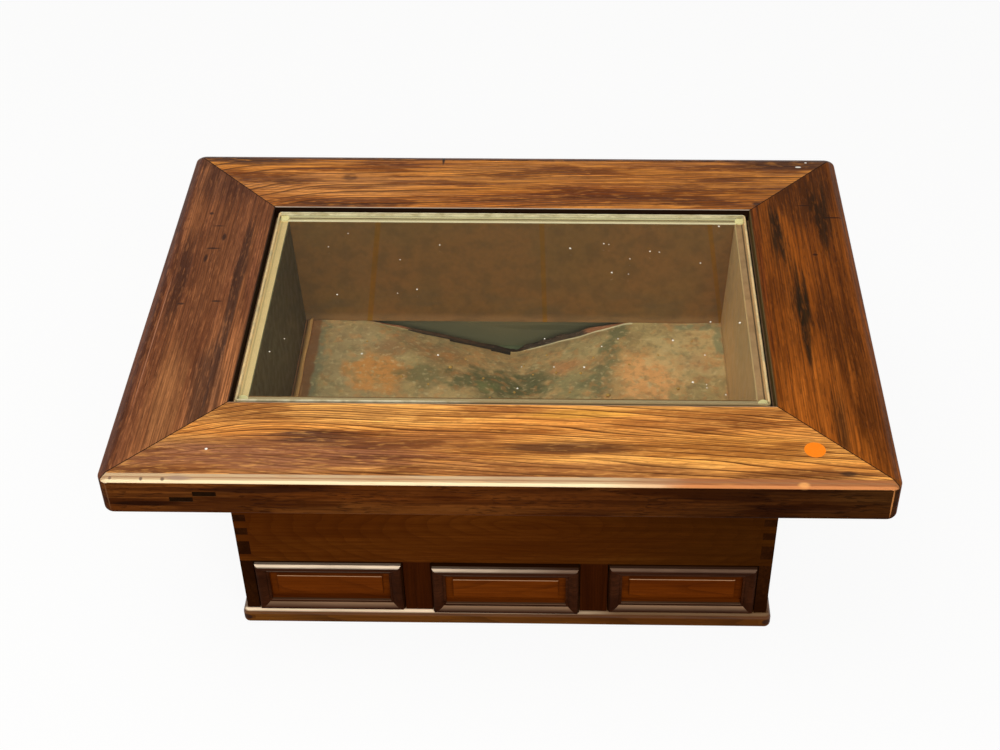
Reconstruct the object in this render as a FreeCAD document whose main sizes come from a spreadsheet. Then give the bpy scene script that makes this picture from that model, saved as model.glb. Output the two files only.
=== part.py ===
import FreeCAD, Part
import math
import os

import Sketcher

# A low brazier table: a wide mitred top on a finger-jointed box with three drawers, and a copper
# liner under a sheet of glass. Millimetres, +Z up, front towards -Y, origin on the ground under
# the middle of the top.

SIZES = {
    # the top's four boards
    "rim_length": 670,
    "rim_depth": 482,
    "rim_width": 96,
    "rim_thick": 41,
    "rim_slope_deep": 7,
    "rim_slope_drop": 3.5,
    "rim_slope_round": 8,
    "rim_edge_round": 3,
    "rim_under_round": 3,
    "rim_corner_round": 10,
    "rim_inner_round": 1,
    "mitre_gap": 0.3,
    # loose tongues hidden in the mitres
    "tongue_long": 50,
    "tongue_wide": 36,
    "tongue_thick": 8,
    "tongue_fit": 0.1,
    # two flat keys driven in from the front edge, one above and one below the middle
    "key_place": 79,
    "key_wide": 20,
    "key_thick": 5,
    "key_long": 28,
    "key_step": 0.8,
    "key_sink": 0.4,
    "key_fit": 0.1,
    # the box
    "box_height": 219,
    "board_thick": 12,
    "drawer_zone": 67,
    # battens inside the opening: they tie the top to the box and carry the liner
    "bearer_wide": 14,
    "bearer_tall": 55,
    "peg_radius": 2.5,
    "peg_fit": 0.05,
    "peg_drop": 12,
    "peg_bite": 8,
    # the plinth
    "plinth_height": 17,
    "plinth_thick": 12,
    "plinth_step": 5,
    "plinth_top_round": 5.5,
    "plinth_low_round": 4,
    "plinth_corner_round": 6,
    "plinth_foot": 50,
    "plinth_arch": 2.5,
    # boards inside the box
    "base_thick": 8,
    "dust_thick": 8,
    "partition_thick": 10,
    "guide_tall": 12,
    "stile_wide": 26,
    "tenon_wide": 16,
    "tenon_thick": 5,
    "tenon_tall": 8,
    "tenon_fit": 0.1,
    # the drawers
    "drawer_side_gap": 0.8,
    "drawer_top_gap": 1,
    "drawer_slide_gap": 0.3,
    "drawer_front_thick": 12,
    "drawer_back_gap": 15,
    "drawer_side_thick": 8,
    "drawer_side_drop": 6,
    "drawer_back_drop": 4,
    "drawer_bottom_thick": 5,
    "middle_drawer_ajar": 3,
    "recess_deep": 4,
    "field_margin": 7,
    "field_round": 0.8,
    # the mitred moulding round each drawer's front
    "moulding_inset": 1,
    "moulding_low_inset": 2.5,
    "moulding_wide": 12,
    "moulding_proud": 5.5,
    "moulding_edge": 3,
    "moulding_nose": 3.5,
    "moulding_bead": 2.5,
    "moulding_bead_proud": 2.2,
    "moulding_quirk": 0.8,
    # the copper liner
    "liner_air": 9.8,
    "liner_taper": 6,
    "liner_fit": 0.3,
    "liner_rim_gap": 1.5,
    "copper_thick": 1.2,
    "lip_high": 6,
    "lip_lean": 3,
    "sag_drop": 40,
    "sag_pull": 4.5,
    "torn_edge_high": 9,
    # the glass and its pads
    "glass_gap": 4.4,
    "glass_thick": 8,
    "glass_drop": 2,
    "glass_corner": 3,
    "glass_bevel": 0.8,
    "pad_radius": 5,
    "pad_thick": 1.5,
    # how far a cut runs past the wood it leaves
    "overrun": 2,
}

# Equal steps up the front corners and up the back corners of the box. At the front the side shows
# first for a double step, and from then on for every other one.
FRONT_STEPS = 17
BACK_STEPS = 25
DOUBLE_STEP_SHARES = (1, 3)
SINGLE_STEP_SHARES = (4, 5)
SINGLE_STEPS = (FRONT_STEPS - DOUBLE_STEP_SHARES[1]) // 2

# Pegs along a batten, as shares of the opening's half length.
PEG_SHARES = (-0.75, 0, 0.75)

# Where the copper floor sags, as shares of its half length and half width: the ends of the loose
# stretch, its lowest point, and the point where the two creases meet.
LOOSE_LEFT_SHARE = -0.71
LOOSE_RIGHT_SHARE = 0.57
LOW_POINT_SHARE = 0
CREASE_SHARES = (0.18, -0.49)

Z_AXIS = FreeCAD.Vector(0, 0, 1)
Y_AXIS = FreeCAD.Vector(0, 1, 0)
X_AXIS = FreeCAD.Vector(1, 0, 0)
ROOT_TWO = math.sqrt(2)

# How exactly the middle of an edge is matched to a place.
EDGE_SLACK = 1e-4

# A round's own radius times this is how far its middle lies from the square corner's sides.
ROUND_SHARE = 1 - 1 / ROOT_TWO


class Length:
    """A size that knows its value and the sheet formula that gives it."""

    def __init__(self, value, formula):
        self.value = value
        self.formula = formula

    def join(self, sign, other, value, swap=False):
        near, far = self.formula, formula_of(other)
        if swap:
            near, far = far, near
        return Length(value, f"({near} {sign} {far})")

    def __add__(self, other):
        return self.join("+", other, self.value + value_of(other))

    __radd__ = __add__

    def __sub__(self, other):
        return self.join("-", other, self.value - value_of(other))

    def __rsub__(self, other):
        return self.join("-", other, value_of(other) - self.value, swap=True)

    def __mul__(self, other):
        return self.join("*", other, self.value * value_of(other))

    __rmul__ = __mul__

    def __truediv__(self, other):
        return self.join("/", other, self.value / value_of(other))

    def __neg__(self):
        return self * -1


def value_of(size):
    return size.value if isinstance(size, Length) else size


def formula_of(size):
    return size.formula if isinstance(size, Length) else repr(size)


doc = FreeCAD.newDocument("brazier_table")
sheet = doc.addObject("Spreadsheet::Sheet", "Sizes")


def read_sizes():
    """Write the driving sizes into the sheet and hand each back by its name."""
    lengths = {}
    for row, (name, value) in enumerate(SIZES.items(), start=1):
        sheet.set(f"A{row}", name)
        sheet.set(f"B{row}", str(value))
        sheet.setAlias(f"B{row}", name)
        lengths[name] = Length(value, f"Sizes.{name}")
    return lengths


class Driving:
    """The driving sizes as attributes."""

    def __init__(self, lengths):
        self.__dict__.update(lengths)


s = Driving(read_sizes())
doc.recompute()

# Sizes that follow from the driving ones.
OPEN_X = s.rim_length / 2 - s.rim_width
OPEN_Y = s.rim_depth / 2 - s.rim_width
BOX_X = OPEN_X + s.board_thick
BOX_Y = OPEN_Y + s.board_thick
PLINTH_X = BOX_X + s.plinth_step
PLINTH_Y = BOX_Y + s.plinth_step
RIM_Z = s.plinth_height + s.box_height
TOP_Z = RIM_Z + s.rim_thick
DRAWERS_TOP_Z = s.plinth_height + s.drawer_zone
FRONT_STEP = (s.box_height - s.drawer_zone) / FRONT_STEPS
BACK_STEP = s.box_height / BACK_STEPS
DRAWER_OPEN = (OPEN_X * 2 - s.stile_wide * 2) / 3
STILE_X = (DRAWER_OPEN + s.stile_wide) / 2
FLANGE_TOP_Z = TOP_Z - s.glass_drop - s.glass_thick - s.pad_thick
BEARER_TOP_Z = FLANGE_TOP_Z - s.copper_thick
BEARER_LOW_Z = BEARER_TOP_Z - s.bearer_tall
FLOOR_Z = DRAWERS_TOP_Z + s.dust_thick + s.liner_air + s.copper_thick + s.sag_drop
LINER_X = OPEN_X - s.bearer_wide - s.liner_fit - s.copper_thick
LINER_Y = OPEN_Y - s.bearer_wide - s.liner_fit - s.copper_thick

nodes = []


def bind(thing, path, size):
    """Tie one property of a thing to a size."""
    if isinstance(size, Length):
        thing.setExpression(path, size.formula)


def place(thing, x, y, z, turn=0, about=Z_AXIS):
    """Turn a thing about its own origin, then put that origin at x, y, z."""
    spot = FreeCAD.Vector(value_of(x), value_of(y), value_of(z))
    thing.Placement = FreeCAD.Placement(spot, FreeCAD.Rotation(about, turn))
    for axis, size in (("x", x), ("y", y), ("z", z)):
        bind(thing, f"Placement.Base.{axis}", size)


class Piece:
    """One body, drawn in a frame of its own and then put in place."""

    def __init__(self, label, node=True):
        self.body = doc.addObject("PartDesign::Body", label)
        self.body.Label = label
        if node:
            nodes.append(self.body)

    def origin(self, role):
        return next(item for item in self.body.Origin.OriginFeatures if item.Role == role)

    def sketch(self, role, loops, lift=0):
        """Draw closed loops on one of the piece's own planes.

        Each loop lists its corners in order. A third item in a corner is the radius of the arc
        that runs anticlockwise from it to the next corner.
        """
        sketch = self.body.newObject("Sketcher::SketchObject", "Outline")
        sketch.AttachmentSupport = [(self.origin(role), "")]
        sketch.MapMode = "FlatFace"
        bind(sketch, "AttachmentOffset.Base.z", lift)
        for loop in loops:
            draw_loop(sketch, loop)
        return sketch

    def circles(self, role, centres, radius, lift=0):
        """Draw equal circles on one of the piece's own planes."""
        sketch = self.body.newObject("Sketcher::SketchObject", "Circles")
        sketch.AttachmentSupport = [(self.origin(role), "")]
        sketch.MapMode = "FlatFace"
        bind(sketch, "AttachmentOffset.Base.z", lift)
        for x, y in centres:
            spot = FreeCAD.Vector(value_of(x), value_of(y), 0)
            circle = sketch.addGeometry(Part.Circle(spot, Z_AXIS, value_of(radius)), False)
            pin_point(sketch, circle, 3, x, y)
            size = Sketcher.Constraint("Radius", circle, value_of(radius))
            bind(sketch, f"Constraints[{sketch.addConstraint(size)}]", radius)
        return sketch

    def pad(self, sketch, length, back=False, middle=False):
        return self.extrude("PartDesign::Pad", sketch, length, back, middle)

    def pocket(self, sketch, length, back=False):
        """Cut a sketch into the piece, and make sure that wood came away."""
        doc.recompute()
        before = self.body.Shape.Volume
        cut = self.extrude("PartDesign::Pocket", sketch, length, back, False)
        doc.recompute()
        if self.body.Shape.Volume >= before:
            raise ValueError(f"a cut in {self.body.Label} removes nothing")
        return cut

    def extrude(self, kind, sketch, length, back, middle):
        feature = self.body.newObject(kind, kind.split("::")[1])
        feature.Profile = sketch
        feature.Reversed = back
        feature.Midplane = middle
        bind(feature, "Length", length)
        sketch.Visibility = False
        return feature

    def row(self, feature, role, spacing, count):
        """Repeat a feature along one of the piece's own axes."""
        pattern = self.body.newObject("PartDesign::LinearPattern", "Row")
        pattern.Originals = [feature]
        pattern.Direction = (self.origin(role), [""])
        pattern.Mode = "Spacing"
        bind(pattern, "Offset", spacing)
        pattern.Occurrences = count
        self.body.Tip = pattern
        return pattern

    def edges(self, low, high):
        """Name the edges whose middles lie between two corners; None in a corner is no limit."""
        found = []
        for number, edge in enumerate(self.body.Tip.Shape.Edges, start=1):
            middle = edge.BoundBox.Center
            if all(beyond(place, limit) for place, limit in zip(middle, low)) and all(
                    beyond(-place, negative(limit)) for place, limit in zip(middle, high)):
                found.append(f"Edge{number}")
        return found

    def round(self, radius, low, high, kind="PartDesign::Fillet"):
        """Round (or chamfer) the edges whose middles lie between two corners of its own frame."""
        doc.recompute()
        base = (self.body.Tip, self.edges(low, high))
        feature = self.body.newObject(kind, kind.split("::")[1])
        feature.Base = base
        bind(feature, "Radius" if kind.endswith("Fillet") else "Size", radius)
        return feature

    def slope(self, deep, drop, low, high):
        """Cut a slope along the edges between two corners: deep across the top, drop down the side."""
        chamfer = self.round(drop, low, high, "PartDesign::Chamfer")
        chamfer.ChamferType = "Two distances"
        bind(chamfer, "Size2", deep)
        return chamfer

    def place(self, x, y, z, turn=0, about=Z_AXIS):
        place(self.body, x, y, z, turn, about)
        return self


def beyond(place, limit):
    """Tell whether a place is at or past a limit; None is no limit."""
    return limit is None or place >= value_of(limit) - EDGE_SLACK


def negative(limit):
    return None if limit is None else -limit


def pin_point(sketch, item, end, x, y):
    """Hold one point of a sketch at x, y."""
    for kind, size, axis in (("DistanceX", x, -2), ("DistanceY", y, -1)):
        if isinstance(size, Length):
            rule = Sketcher.Constraint(kind, -1, 1, item, end, size.value)
            bind(sketch, f"Constraints[{sketch.addConstraint(rule)}]", size)
        else:
            sketch.addConstraint(Sketcher.Constraint("PointOnObject", item, end, axis))


def draw_loop(sketch, corners):
    """Draw one closed loop of lines and arcs, each corner held by its own two sizes."""
    spots = [FreeCAD.Vector(value_of(corner[0]), value_of(corner[1]), 0) for corner in corners]
    first = sketch.GeometryCount
    for index, corner in enumerate(corners):
        start, end = spots[index], spots[(index + 1) % len(spots)]
        if len(corner) == 3:
            shape = arc_between(start, end, value_of(corner[2]))
        else:
            shape = Part.LineSegment(start, end)
        sketch.addGeometry(shape, False)
    for index, corner in enumerate(corners):
        item = first + index
        following = first + (index + 1) % len(corners)
        sketch.addConstraint(Sketcher.Constraint("Coincident", item, 2, following, 1))
        pin_point(sketch, item, 1, corner[0], corner[1])
        if len(corner) == 3:
            rule = Sketcher.Constraint("Radius", item, value_of(corner[2]))
            bind(sketch, f"Constraints[{sketch.addConstraint(rule)}]", corner[2])


def arc_between(start, end, radius):
    """The short arc that runs anticlockwise from start to end."""
    chord = end - start
    inward = FreeCAD.Vector(-chord.y, chord.x, 0).normalize()
    reach = math.sqrt(radius ** 2 - (chord.Length / 2) ** 2)
    centre = (start + end) * 0.5 + inward * reach
    from_angle = math.atan2(start.y - centre.y, start.x - centre.x)
    to_angle = math.atan2(end.y - centre.y, end.x - centre.x)
    return Part.ArcOfCircle(Part.Circle(centre, Z_AXIS, radius), from_angle, to_angle)


def rectangle(x0, x1, y0, y1):
    return [(x0, y0), (x1, y0), (x1, y1), (x0, y1)]


def plank(label, x, y, z, node=True):
    """A plain board between two places on each axis."""
    board = doc.addObject("Part::Box", label)
    board.Label = label
    for name, (low, high) in (("Length", x), ("Width", y), ("Height", z)):
        bind(board, name, high - low)
    place(board, x[0], y[0], z[0])
    if node:
        nodes.append(board)
    return board


def group(label, members):
    """Equal small pieces that share one node, each a solid of its own."""
    together = doc.addObject("Part::Compound", label)
    together.Label = label
    together.Links = members
    nodes.append(together)
    return together


# The way out of each side, as shares of the half sizes along X and Y.
SIDE_SHARES = {"front": (0, -1), "right": (1, 0), "back": (0, 1), "left": (-1, 0)}

# The way to each corner, anticlockwise from the back right, as shares of the half sizes.
CORNER_SHARES = ((1, 1), (-1, 1), (-1, -1), (1, -1))


def outward_turn(out_x, out_y):
    """The turn in degrees that brings a piece's own -Y to the outside of a side."""
    return math.degrees(math.atan2(out_x, -out_y))


def mitred(half_length, width, gap):
    """A board's plan with 45 degree ends: outer edge on y = 0, inner edge at its width."""
    outer = half_length - gap
    inner = outer - width
    return [(-outer, 0), (outer, 0), (inner, width), (-inner, width)]


# The top.

def rim_plan(half_length):
    """The mitred plan of a top board, with its share of the rounded outer corners."""
    shift = s.mitre_gap / ROOT_TWO
    straight = half_length - s.rim_corner_round
    tip = half_length - s.rim_corner_round * ROUND_SHARE - shift
    rise = s.rim_corner_round * ROUND_SHARE
    inner = half_length - s.rim_width - shift
    return [(-straight, 0), (straight, 0, s.rim_corner_round), (tip, rise), (inner, s.rim_width),
            (-inner, s.rim_width), (-tip, rise, s.rim_corner_round)]


def tongue_slot(half_length, end):
    """The slanted slot for a mitre tongue at one end of a top board."""
    half_long = (s.tongue_long / 2 + s.tongue_fit) / ROOT_TWO
    half_wide = (s.tongue_wide / 2 + s.tongue_fit) / ROOT_TWO
    middle_x = (half_length - s.rim_width / 2) * end
    middle_y = s.rim_width / 2
    corners = []
    for along, across in ((-1, -1), (1, -1), (1, 1), (-1, 1)):
        out_x = (half_long * along - half_wide * across) * -end
        corners.append((middle_x + out_x, middle_y + half_long * along + half_wide * across))
    return corners if end < 0 else corners[::-1]


def peg_heights(base_z):
    """The heights of the two rows of pegs above a piece's own underside."""
    return RIM_Z + s.peg_drop - base_z, RIM_Z - s.peg_drop - base_z


def peg_places(half_open):
    return [half_open * share if share else 0 for share in PEG_SHARES]


def make_rim(side, out_x, out_y):
    half_length = s.rim_length / 2 if out_y else s.rim_depth / 2
    half_open = OPEN_X if out_y else OPEN_Y
    rim = Piece(f"rim_{side}")
    rim.pad(rim.sketch("XY_Plane", [rim_plan(half_length)]), s.rim_thick)
    rim.slope(s.rim_slope_deep, s.rim_slope_drop, (None, None, s.rim_thick),
              (None, s.rim_corner_round, None))
    slope_low = s.rim_thick - s.rim_slope_drop
    rim.round(s.rim_slope_round, (None, None, s.rim_thick), (None, s.rim_corner_round, None))
    rim.round(s.rim_edge_round, (None, None, slope_low), (None, s.rim_corner_round / 2, slope_low))
    rim.round(s.rim_under_round, (None, None, None), (None, s.rim_corner_round, 0))
    rim.round(s.rim_inner_round, (None, s.rim_width, s.rim_thick), (None, None, None))
    slots = rim.sketch("XY_Plane", [tongue_slot(half_length, end) for end in (-1, 1)],
                       lift=s.rim_thick / 2 + s.tongue_thick / 2 + s.tongue_fit)
    rim.pocket(slots, s.tongue_thick + s.tongue_fit * 2)
    row = [(x, peg_heights(RIM_Z)[0]) for x in peg_places(half_open)]
    holes = rim.circles("XZ_Plane", row, s.peg_radius + s.peg_fit, lift=-s.rim_width)
    rim.pocket(holes, s.peg_bite + s.peg_fit, back=True)
    if side == "front":
        keyways = [rectangle(low_x - s.key_fit, high_x + s.key_fit, low_z - s.key_fit, high_z + s.key_fit)
                   for low_x, high_x, low_z, high_z in key_faces()]
        for keyway in keyways:
            rim.pocket(rim.sketch("XZ_Plane", [keyway]), s.key_sink + s.key_long + s.key_fit)
    rim.place(s.rim_length / 2 * out_x, s.rim_depth / 2 * out_y, RIM_Z, outward_turn(out_x, out_y))


def key_faces():
    """Where the two keys show in the front edge: x and z spans in the front board's own frame."""
    meet = s.key_place - s.rim_length / 2
    middle = s.rim_thick / 2
    lower = (meet - s.key_wide, meet - s.key_fit * 2, middle - s.key_step - s.key_thick, middle - s.key_step)
    upper = (meet + s.key_fit * 2, meet + s.key_wide, middle + s.key_step, middle + s.key_step + s.key_thick)
    return lower, upper


def make_draw_keys():
    keys = []
    front_y = s.key_sink - s.rim_depth / 2
    for name, (low_x, high_x, low_z, high_z) in zip(("lower", "upper"), key_faces()):
        keys.append(plank(f"draw_key_{name}", (low_x, high_x), (front_y, front_y + s.key_long),
                          (RIM_Z + low_z, RIM_Z + high_z), node=False))
    group("draw_keys", keys)


def make_mitre_tongues():
    """A flat loose tongue across each mitre."""
    tongues = []
    half_long = s.tongue_long / 2 / ROOT_TWO
    half_wide = s.tongue_wide / 2 / ROOT_TWO
    for along_x, along_y in CORNER_SHARES:
        tongue = doc.addObject("Part::Box", "mitre_tongue")
        bind(tongue, "Length", s.tongue_long)
        bind(tongue, "Width", s.tongue_wide)
        bind(tongue, "Height", s.tongue_thick)
        middle_x = (s.rim_length / 2 - s.rim_width / 2) * along_x
        middle_y = (s.rim_depth / 2 - s.rim_width / 2) * along_y
        corner_x = middle_x - half_long * along_x + half_wide * along_y
        corner_y = middle_y - half_long * along_y - half_wide * along_x
        place(tongue, corner_x, corner_y, RIM_Z + s.rim_thick / 2 - s.tongue_thick / 2,
              math.degrees(math.atan2(along_y, along_x)))
        tongues.append(tongue)
    group("mitre_tongues", tongues)


# The box.

def board(label, half_length, height):
    """A standing board: inner face on y = 0, outside towards -Y, foot on z = 0."""
    piece = Piece(label)
    piece.pad(piece.sketch("XZ_Plane", [rectangle(-half_length, half_length, 0, height)]), s.board_thick)
    return piece


def end_slots(piece, half_length, ends, low, high, spacing=None, count=1):
    """Cut finger slots into the ends of a standing board, one above the other."""
    reach = half_length + s.overrun
    loops = []
    for end in ends:
        inner, outer = half_length - s.board_thick, reach
        loops.append(rectangle(inner, outer, low, high) if end > 0 else rectangle(-outer, -inner, low, high))
    slot = piece.pocket(piece.sketch("XZ_Plane", loops), s.board_thick + s.overrun, back=True)
    if count > 1:
        piece.row(slot, "Z_Axis", spacing, count)


def peg_sockets(piece, half_open, base_z):
    """Sockets for the lower row of pegs in a standing board's inner face."""
    row = [(x, peg_heights(base_z)[1]) for x in peg_places(half_open)]
    holes = piece.circles("XZ_Plane", row, s.peg_radius + s.peg_fit)
    piece.pocket(holes, s.peg_bite + s.peg_fit, back=True)


def make_front_board():
    """The board above the drawers, slotted where the sides' fingers show."""
    front = board("box_front_board", BOX_X, s.box_height - s.drawer_zone)
    double, single = ([FRONT_STEP * share for share in shares]
                      for shares in (DOUBLE_STEP_SHARES, SINGLE_STEP_SHARES))
    end_slots(front, BOX_X, (-1, 1), *double)
    end_slots(front, BOX_X, (-1, 1), *single, FRONT_STEP * 2, SINGLE_STEPS)
    for end in (-1, 1):
        half = s.tenon_wide / 2 + s.tenon_fit
        low_x, high_x = STILE_X * end - half, STILE_X * end + half
        mortise = front.sketch("XZ_Plane", [rectangle(low_x, high_x, 0, s.tenon_tall + s.tenon_fit)],
                               lift=s.board_thick / 2 - s.tenon_thick / 2 - s.tenon_fit)
        front.pocket(mortise, s.tenon_thick + s.tenon_fit * 2, back=True)
    peg_sockets(front, OPEN_X, DRAWERS_TOP_Z)
    front.place(0, -OPEN_Y, DRAWERS_TOP_Z)


def make_back_board():
    back = board("box_back_board", BOX_X, s.box_height)
    end_slots(back, BOX_X, (-1, 1), BACK_STEP, BACK_STEP * 2, BACK_STEP * 2, BACK_STEPS // 2)
    peg_sockets(back, OPEN_X, s.plinth_height)
    back.place(0, OPEN_Y, s.plinth_height, outward_turn(0, 1))


def make_side_board(side, out_x):
    """A side of the box: slots at its front end above the drawers, and all the way up behind."""
    piece = board(f"box_{side}_side", BOX_Y, s.box_height)
    front_end, back_end = -out_x, out_x
    low = s.drawer_zone
    above_double = low + FRONT_STEP * DOUBLE_STEP_SHARES[1]
    end_slots(piece, BOX_Y, (front_end,), low, low + FRONT_STEP)
    end_slots(piece, BOX_Y, (front_end,), above_double, above_double + FRONT_STEP, FRONT_STEP * 2, SINGLE_STEPS)
    end_slots(piece, BOX_Y, (back_end,), 0, BACK_STEP, BACK_STEP * 2, BACK_STEPS // 2 + 1)
    peg_sockets(piece, OPEN_Y, s.plinth_height)
    piece.place(OPEN_X * out_x, 0, s.plinth_height, outward_turn(out_x, 0))


def make_bearers():
    """Battens inside the opening, pegged to the top above and to the box below."""
    for side, (out_x, out_y) in SIDE_SHARES.items():
        half = OPEN_X if out_y else OPEN_Y - s.bearer_wide
        half_open = OPEN_X if out_y else OPEN_Y
        bearer = Piece(f"bearer_{side}")
        face = bearer.sketch("XZ_Plane", [rectangle(-half, half, 0, s.bearer_tall)])
        bearer.pad(face, s.bearer_wide, back=True)
        centres = [(x, height) for x in peg_places(half_open) for height in peg_heights(BEARER_LOW_Z)]
        holes = bearer.circles("XZ_Plane", centres, s.peg_radius + s.peg_fit)
        bearer.pocket(holes, s.bearer_wide + s.overrun)
        bearer.place(OPEN_X * out_x, OPEN_Y * out_y, BEARER_LOW_Z, outward_turn(out_x, out_y))


def make_pegs():
    pegs = []
    for side, (out_x, out_y) in SIDE_SHARES.items():
        for along in peg_places(OPEN_X if out_y else OPEN_Y):
            for height in peg_heights(0):
                peg = doc.addObject("Part::Cylinder", f"bearer_peg_{side}")
                bind(peg, "Radius", s.peg_radius)
                bind(peg, "Height", s.bearer_wide + s.peg_bite)
                inner_x, inner_y = OPEN_X - s.bearer_wide, OPEN_Y - s.bearer_wide
                if out_y:
                    place(peg, along, inner_y * out_y, height, -90 * out_y, X_AXIS)
                else:
                    place(peg, inner_x * out_x, along, height, 90 * out_x, Y_AXIS)
                pegs.append(peg)
    group("bearer_pegs", pegs)


def make_stile(side, sign):
    """The post between two drawers, with a tenon into the board above it."""
    stile = Piece(f"drawer_stile_{side}")
    half, half_tenon = s.stile_wide / 2, s.tenon_wide / 2
    stile.pad(stile.sketch("XZ_Plane", [rectangle(-half, half, 0, s.drawer_zone)]), s.board_thick)
    tenon = rectangle(-half_tenon, half_tenon, s.drawer_zone, s.drawer_zone + s.tenon_tall)
    stile.pad(stile.sketch("XZ_Plane", [tenon], lift=s.board_thick / 2 - s.tenon_thick / 2), s.tenon_thick)
    stile.place(STILE_X * sign, -OPEN_Y, s.plinth_height)


def make_inner_boards():
    low, high = s.plinth_height, DRAWERS_TOP_Z
    half_partition = s.partition_thick / 2
    guides = []
    for side, sign in (("left", -1), ("right", 1)):
        middle = STILE_X * sign
        plank(f"partition_{side}", (middle - half_partition, middle + half_partition),
              (-OPEN_Y, OPEN_Y), (low, high))
        for face, start in (("outer", middle - s.stile_wide / 2), ("inner", middle + half_partition)):
            guides.append(plank(f"drawer_guide_{side}_{face}",
                                (start, start + s.stile_wide / 2 - half_partition),
                                (-OPEN_Y, OPEN_Y), (low, low + s.guide_tall), node=False))
    group("drawer_guides", guides)
    plank("dust_board", (-OPEN_X, OPEN_X), (-OPEN_Y, OPEN_Y), (high, high + s.dust_thick))
    half_x, half_y = PLINTH_X - s.plinth_thick, PLINTH_Y - s.plinth_thick
    plank("base_board", (-half_x, half_x), (-half_y, half_y), (low - s.base_thick, low))


# The plinth.

def make_plinth_rail(side, out_x, out_y):
    """A rail with rounded outer edges, finger-jointed ends and a shallow arch underneath."""
    half_length = PLINTH_X if out_y else PLINTH_Y
    third = s.plinth_height / 3
    rail = Piece(f"plinth_{side}")
    plan = rail.sketch("XY_Plane", [rectangle(-half_length, half_length, 0, s.plinth_thick)])
    rail.pad(plan, s.plinth_height)
    for end in (-half_length, half_length):
        rail.round(s.plinth_corner_round, (end, 0, 0), (end, 0, s.plinth_height))
    # The inner edges lie further in than the middles of the end edges, so they stay sharp.
    end_middle = (s.plinth_thick + s.plinth_corner_round) / 2
    rail.round(s.plinth_top_round, (None, None, s.plinth_height), (None, end_middle, None))
    rail.round(s.plinth_low_round, (None, None, None), (None, end_middle, 0))
    outer, inner = half_length + s.overrun, half_length - s.plinth_thick
    spans = ((third, third * 2),) if out_y else ((-s.overrun, third), (third * 2, s.plinth_height + s.overrun))
    loops = []
    for low, high in spans:
        loops.append(rectangle(inner, outer, low, high))
        loops.append(rectangle(-outer, -inner, low, high))
    rail.pocket(rail.sketch("XZ_Plane", loops), s.plinth_thick + s.overrun)
    reach = half_length - s.plinth_foot
    arch_radius = (reach * reach + s.plinth_arch * s.plinth_arch) / (s.plinth_arch * 2)
    arch = [(-reach, -s.overrun), (reach, -s.overrun), (reach, 0, arch_radius), (-reach, 0)]
    rail.pocket(rail.sketch("XZ_Plane", [arch]), s.plinth_thick)
    rail.place(PLINTH_X * out_x, PLINTH_Y * out_y, 0, outward_turn(out_x, out_y))


# The drawers.

FRONT_HALF = DRAWER_OPEN / 2 - s.drawer_side_gap
FRONT_HIGH = s.drawer_zone - s.drawer_slide_gap - s.drawer_top_gap
DRAWER_Z = s.plinth_height + s.drawer_slide_gap
FRONT_BACK_Y = s.drawer_front_thick - BOX_Y


def make_drawer_front(name, middle, pull):
    """The front board: a sunk margin leaves a raised field in the middle."""
    front = Piece(f"drawer_front_{name}")
    front.pad(front.sketch("XZ_Plane", [rectangle(-FRONT_HALF, FRONT_HALF, 0, FRONT_HIGH)]),
              s.drawer_front_thick)
    half = FRONT_HALF - s.moulding_inset - s.moulding_wide
    low = s.moulding_low_inset + s.moulding_wide
    high = FRONT_HIGH - s.moulding_inset - s.moulding_wide
    field_half = half - s.field_margin
    field_low, field_high = low + s.field_margin, high - s.field_margin
    ring = [rectangle(-half, half, low, high), rectangle(-field_half, field_half, field_low, field_high)]
    front.pocket(front.sketch("XZ_Plane", ring, lift=s.drawer_front_thick), s.recess_deep)
    face = -s.drawer_front_thick
    front.round(s.field_round, (-field_half, face, field_low), (field_half, face, field_high))
    front.place(middle, FRONT_BACK_Y - pull, DRAWER_Z)


def moulding_section():
    """The strip's section: a rounded nose, a long fall inwards, a quirk and a small bead."""
    bead_start = s.moulding_wide - s.moulding_bead
    crest_y, crest_z = -s.moulding_proud, s.moulding_nose
    fall_y = -(s.moulding_bead_proud + s.moulding_quirk)
    return [(0, 0), (0, s.moulding_wide), (-s.moulding_bead_proud, s.moulding_wide, s.moulding_bead),
            (-s.moulding_bead_proud, bead_start), (fall_y, bead_start, s.moulding_wide),
            (crest_y, crest_z, s.moulding_nose), (-s.moulding_edge, 0)]


def moulding_strip(label, length):
    """A moulding strip with mitred ends, outer edge on z = 0."""
    strip = Piece(label, node=False)
    strip.pad(strip.sketch("YZ_Plane", [moulding_section()]), length, middle=True)
    half = length / 2
    past, above = half + s.overrun, s.moulding_wide + s.overrun
    foot = half - s.moulding_wide - s.overrun
    ends = [[(past, -s.overrun), (past, above), (foot, above)],
            [(-past, -s.overrun), (-foot, above), (-past, above)]]
    strip.pocket(strip.sketch("XZ_Plane", ends), s.moulding_proud + s.overrun, back=True)
    return strip


def make_moulding(name, middle, pull):
    """Four mitred strips planted on a drawer's front."""
    wide = FRONT_HALF * 2 - s.moulding_inset * 2
    high = FRONT_HIGH - s.moulding_inset - s.moulding_low_inset
    face_y = FRONT_BACK_Y - s.drawer_front_thick - pull
    low_z = DRAWER_Z + s.moulding_low_inset
    top_z = low_z + high
    side_x = wide / 2
    spots = (("bottom", wide, middle, low_z, 0), ("top", wide, middle, top_z, 180),
             ("left", high, middle - side_x, low_z + high / 2, 90),
             ("right", high, middle + side_x, low_z + high / 2, -90))
    strips = []
    for edge, length, x, z, turn in spots:
        strip = moulding_strip(f"moulding_{name}_{edge}", length)
        strips.append(strip.place(x, face_y, z, turn, Y_AXIS).body)
    group(f"drawer_moulding_{name}", strips)


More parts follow.
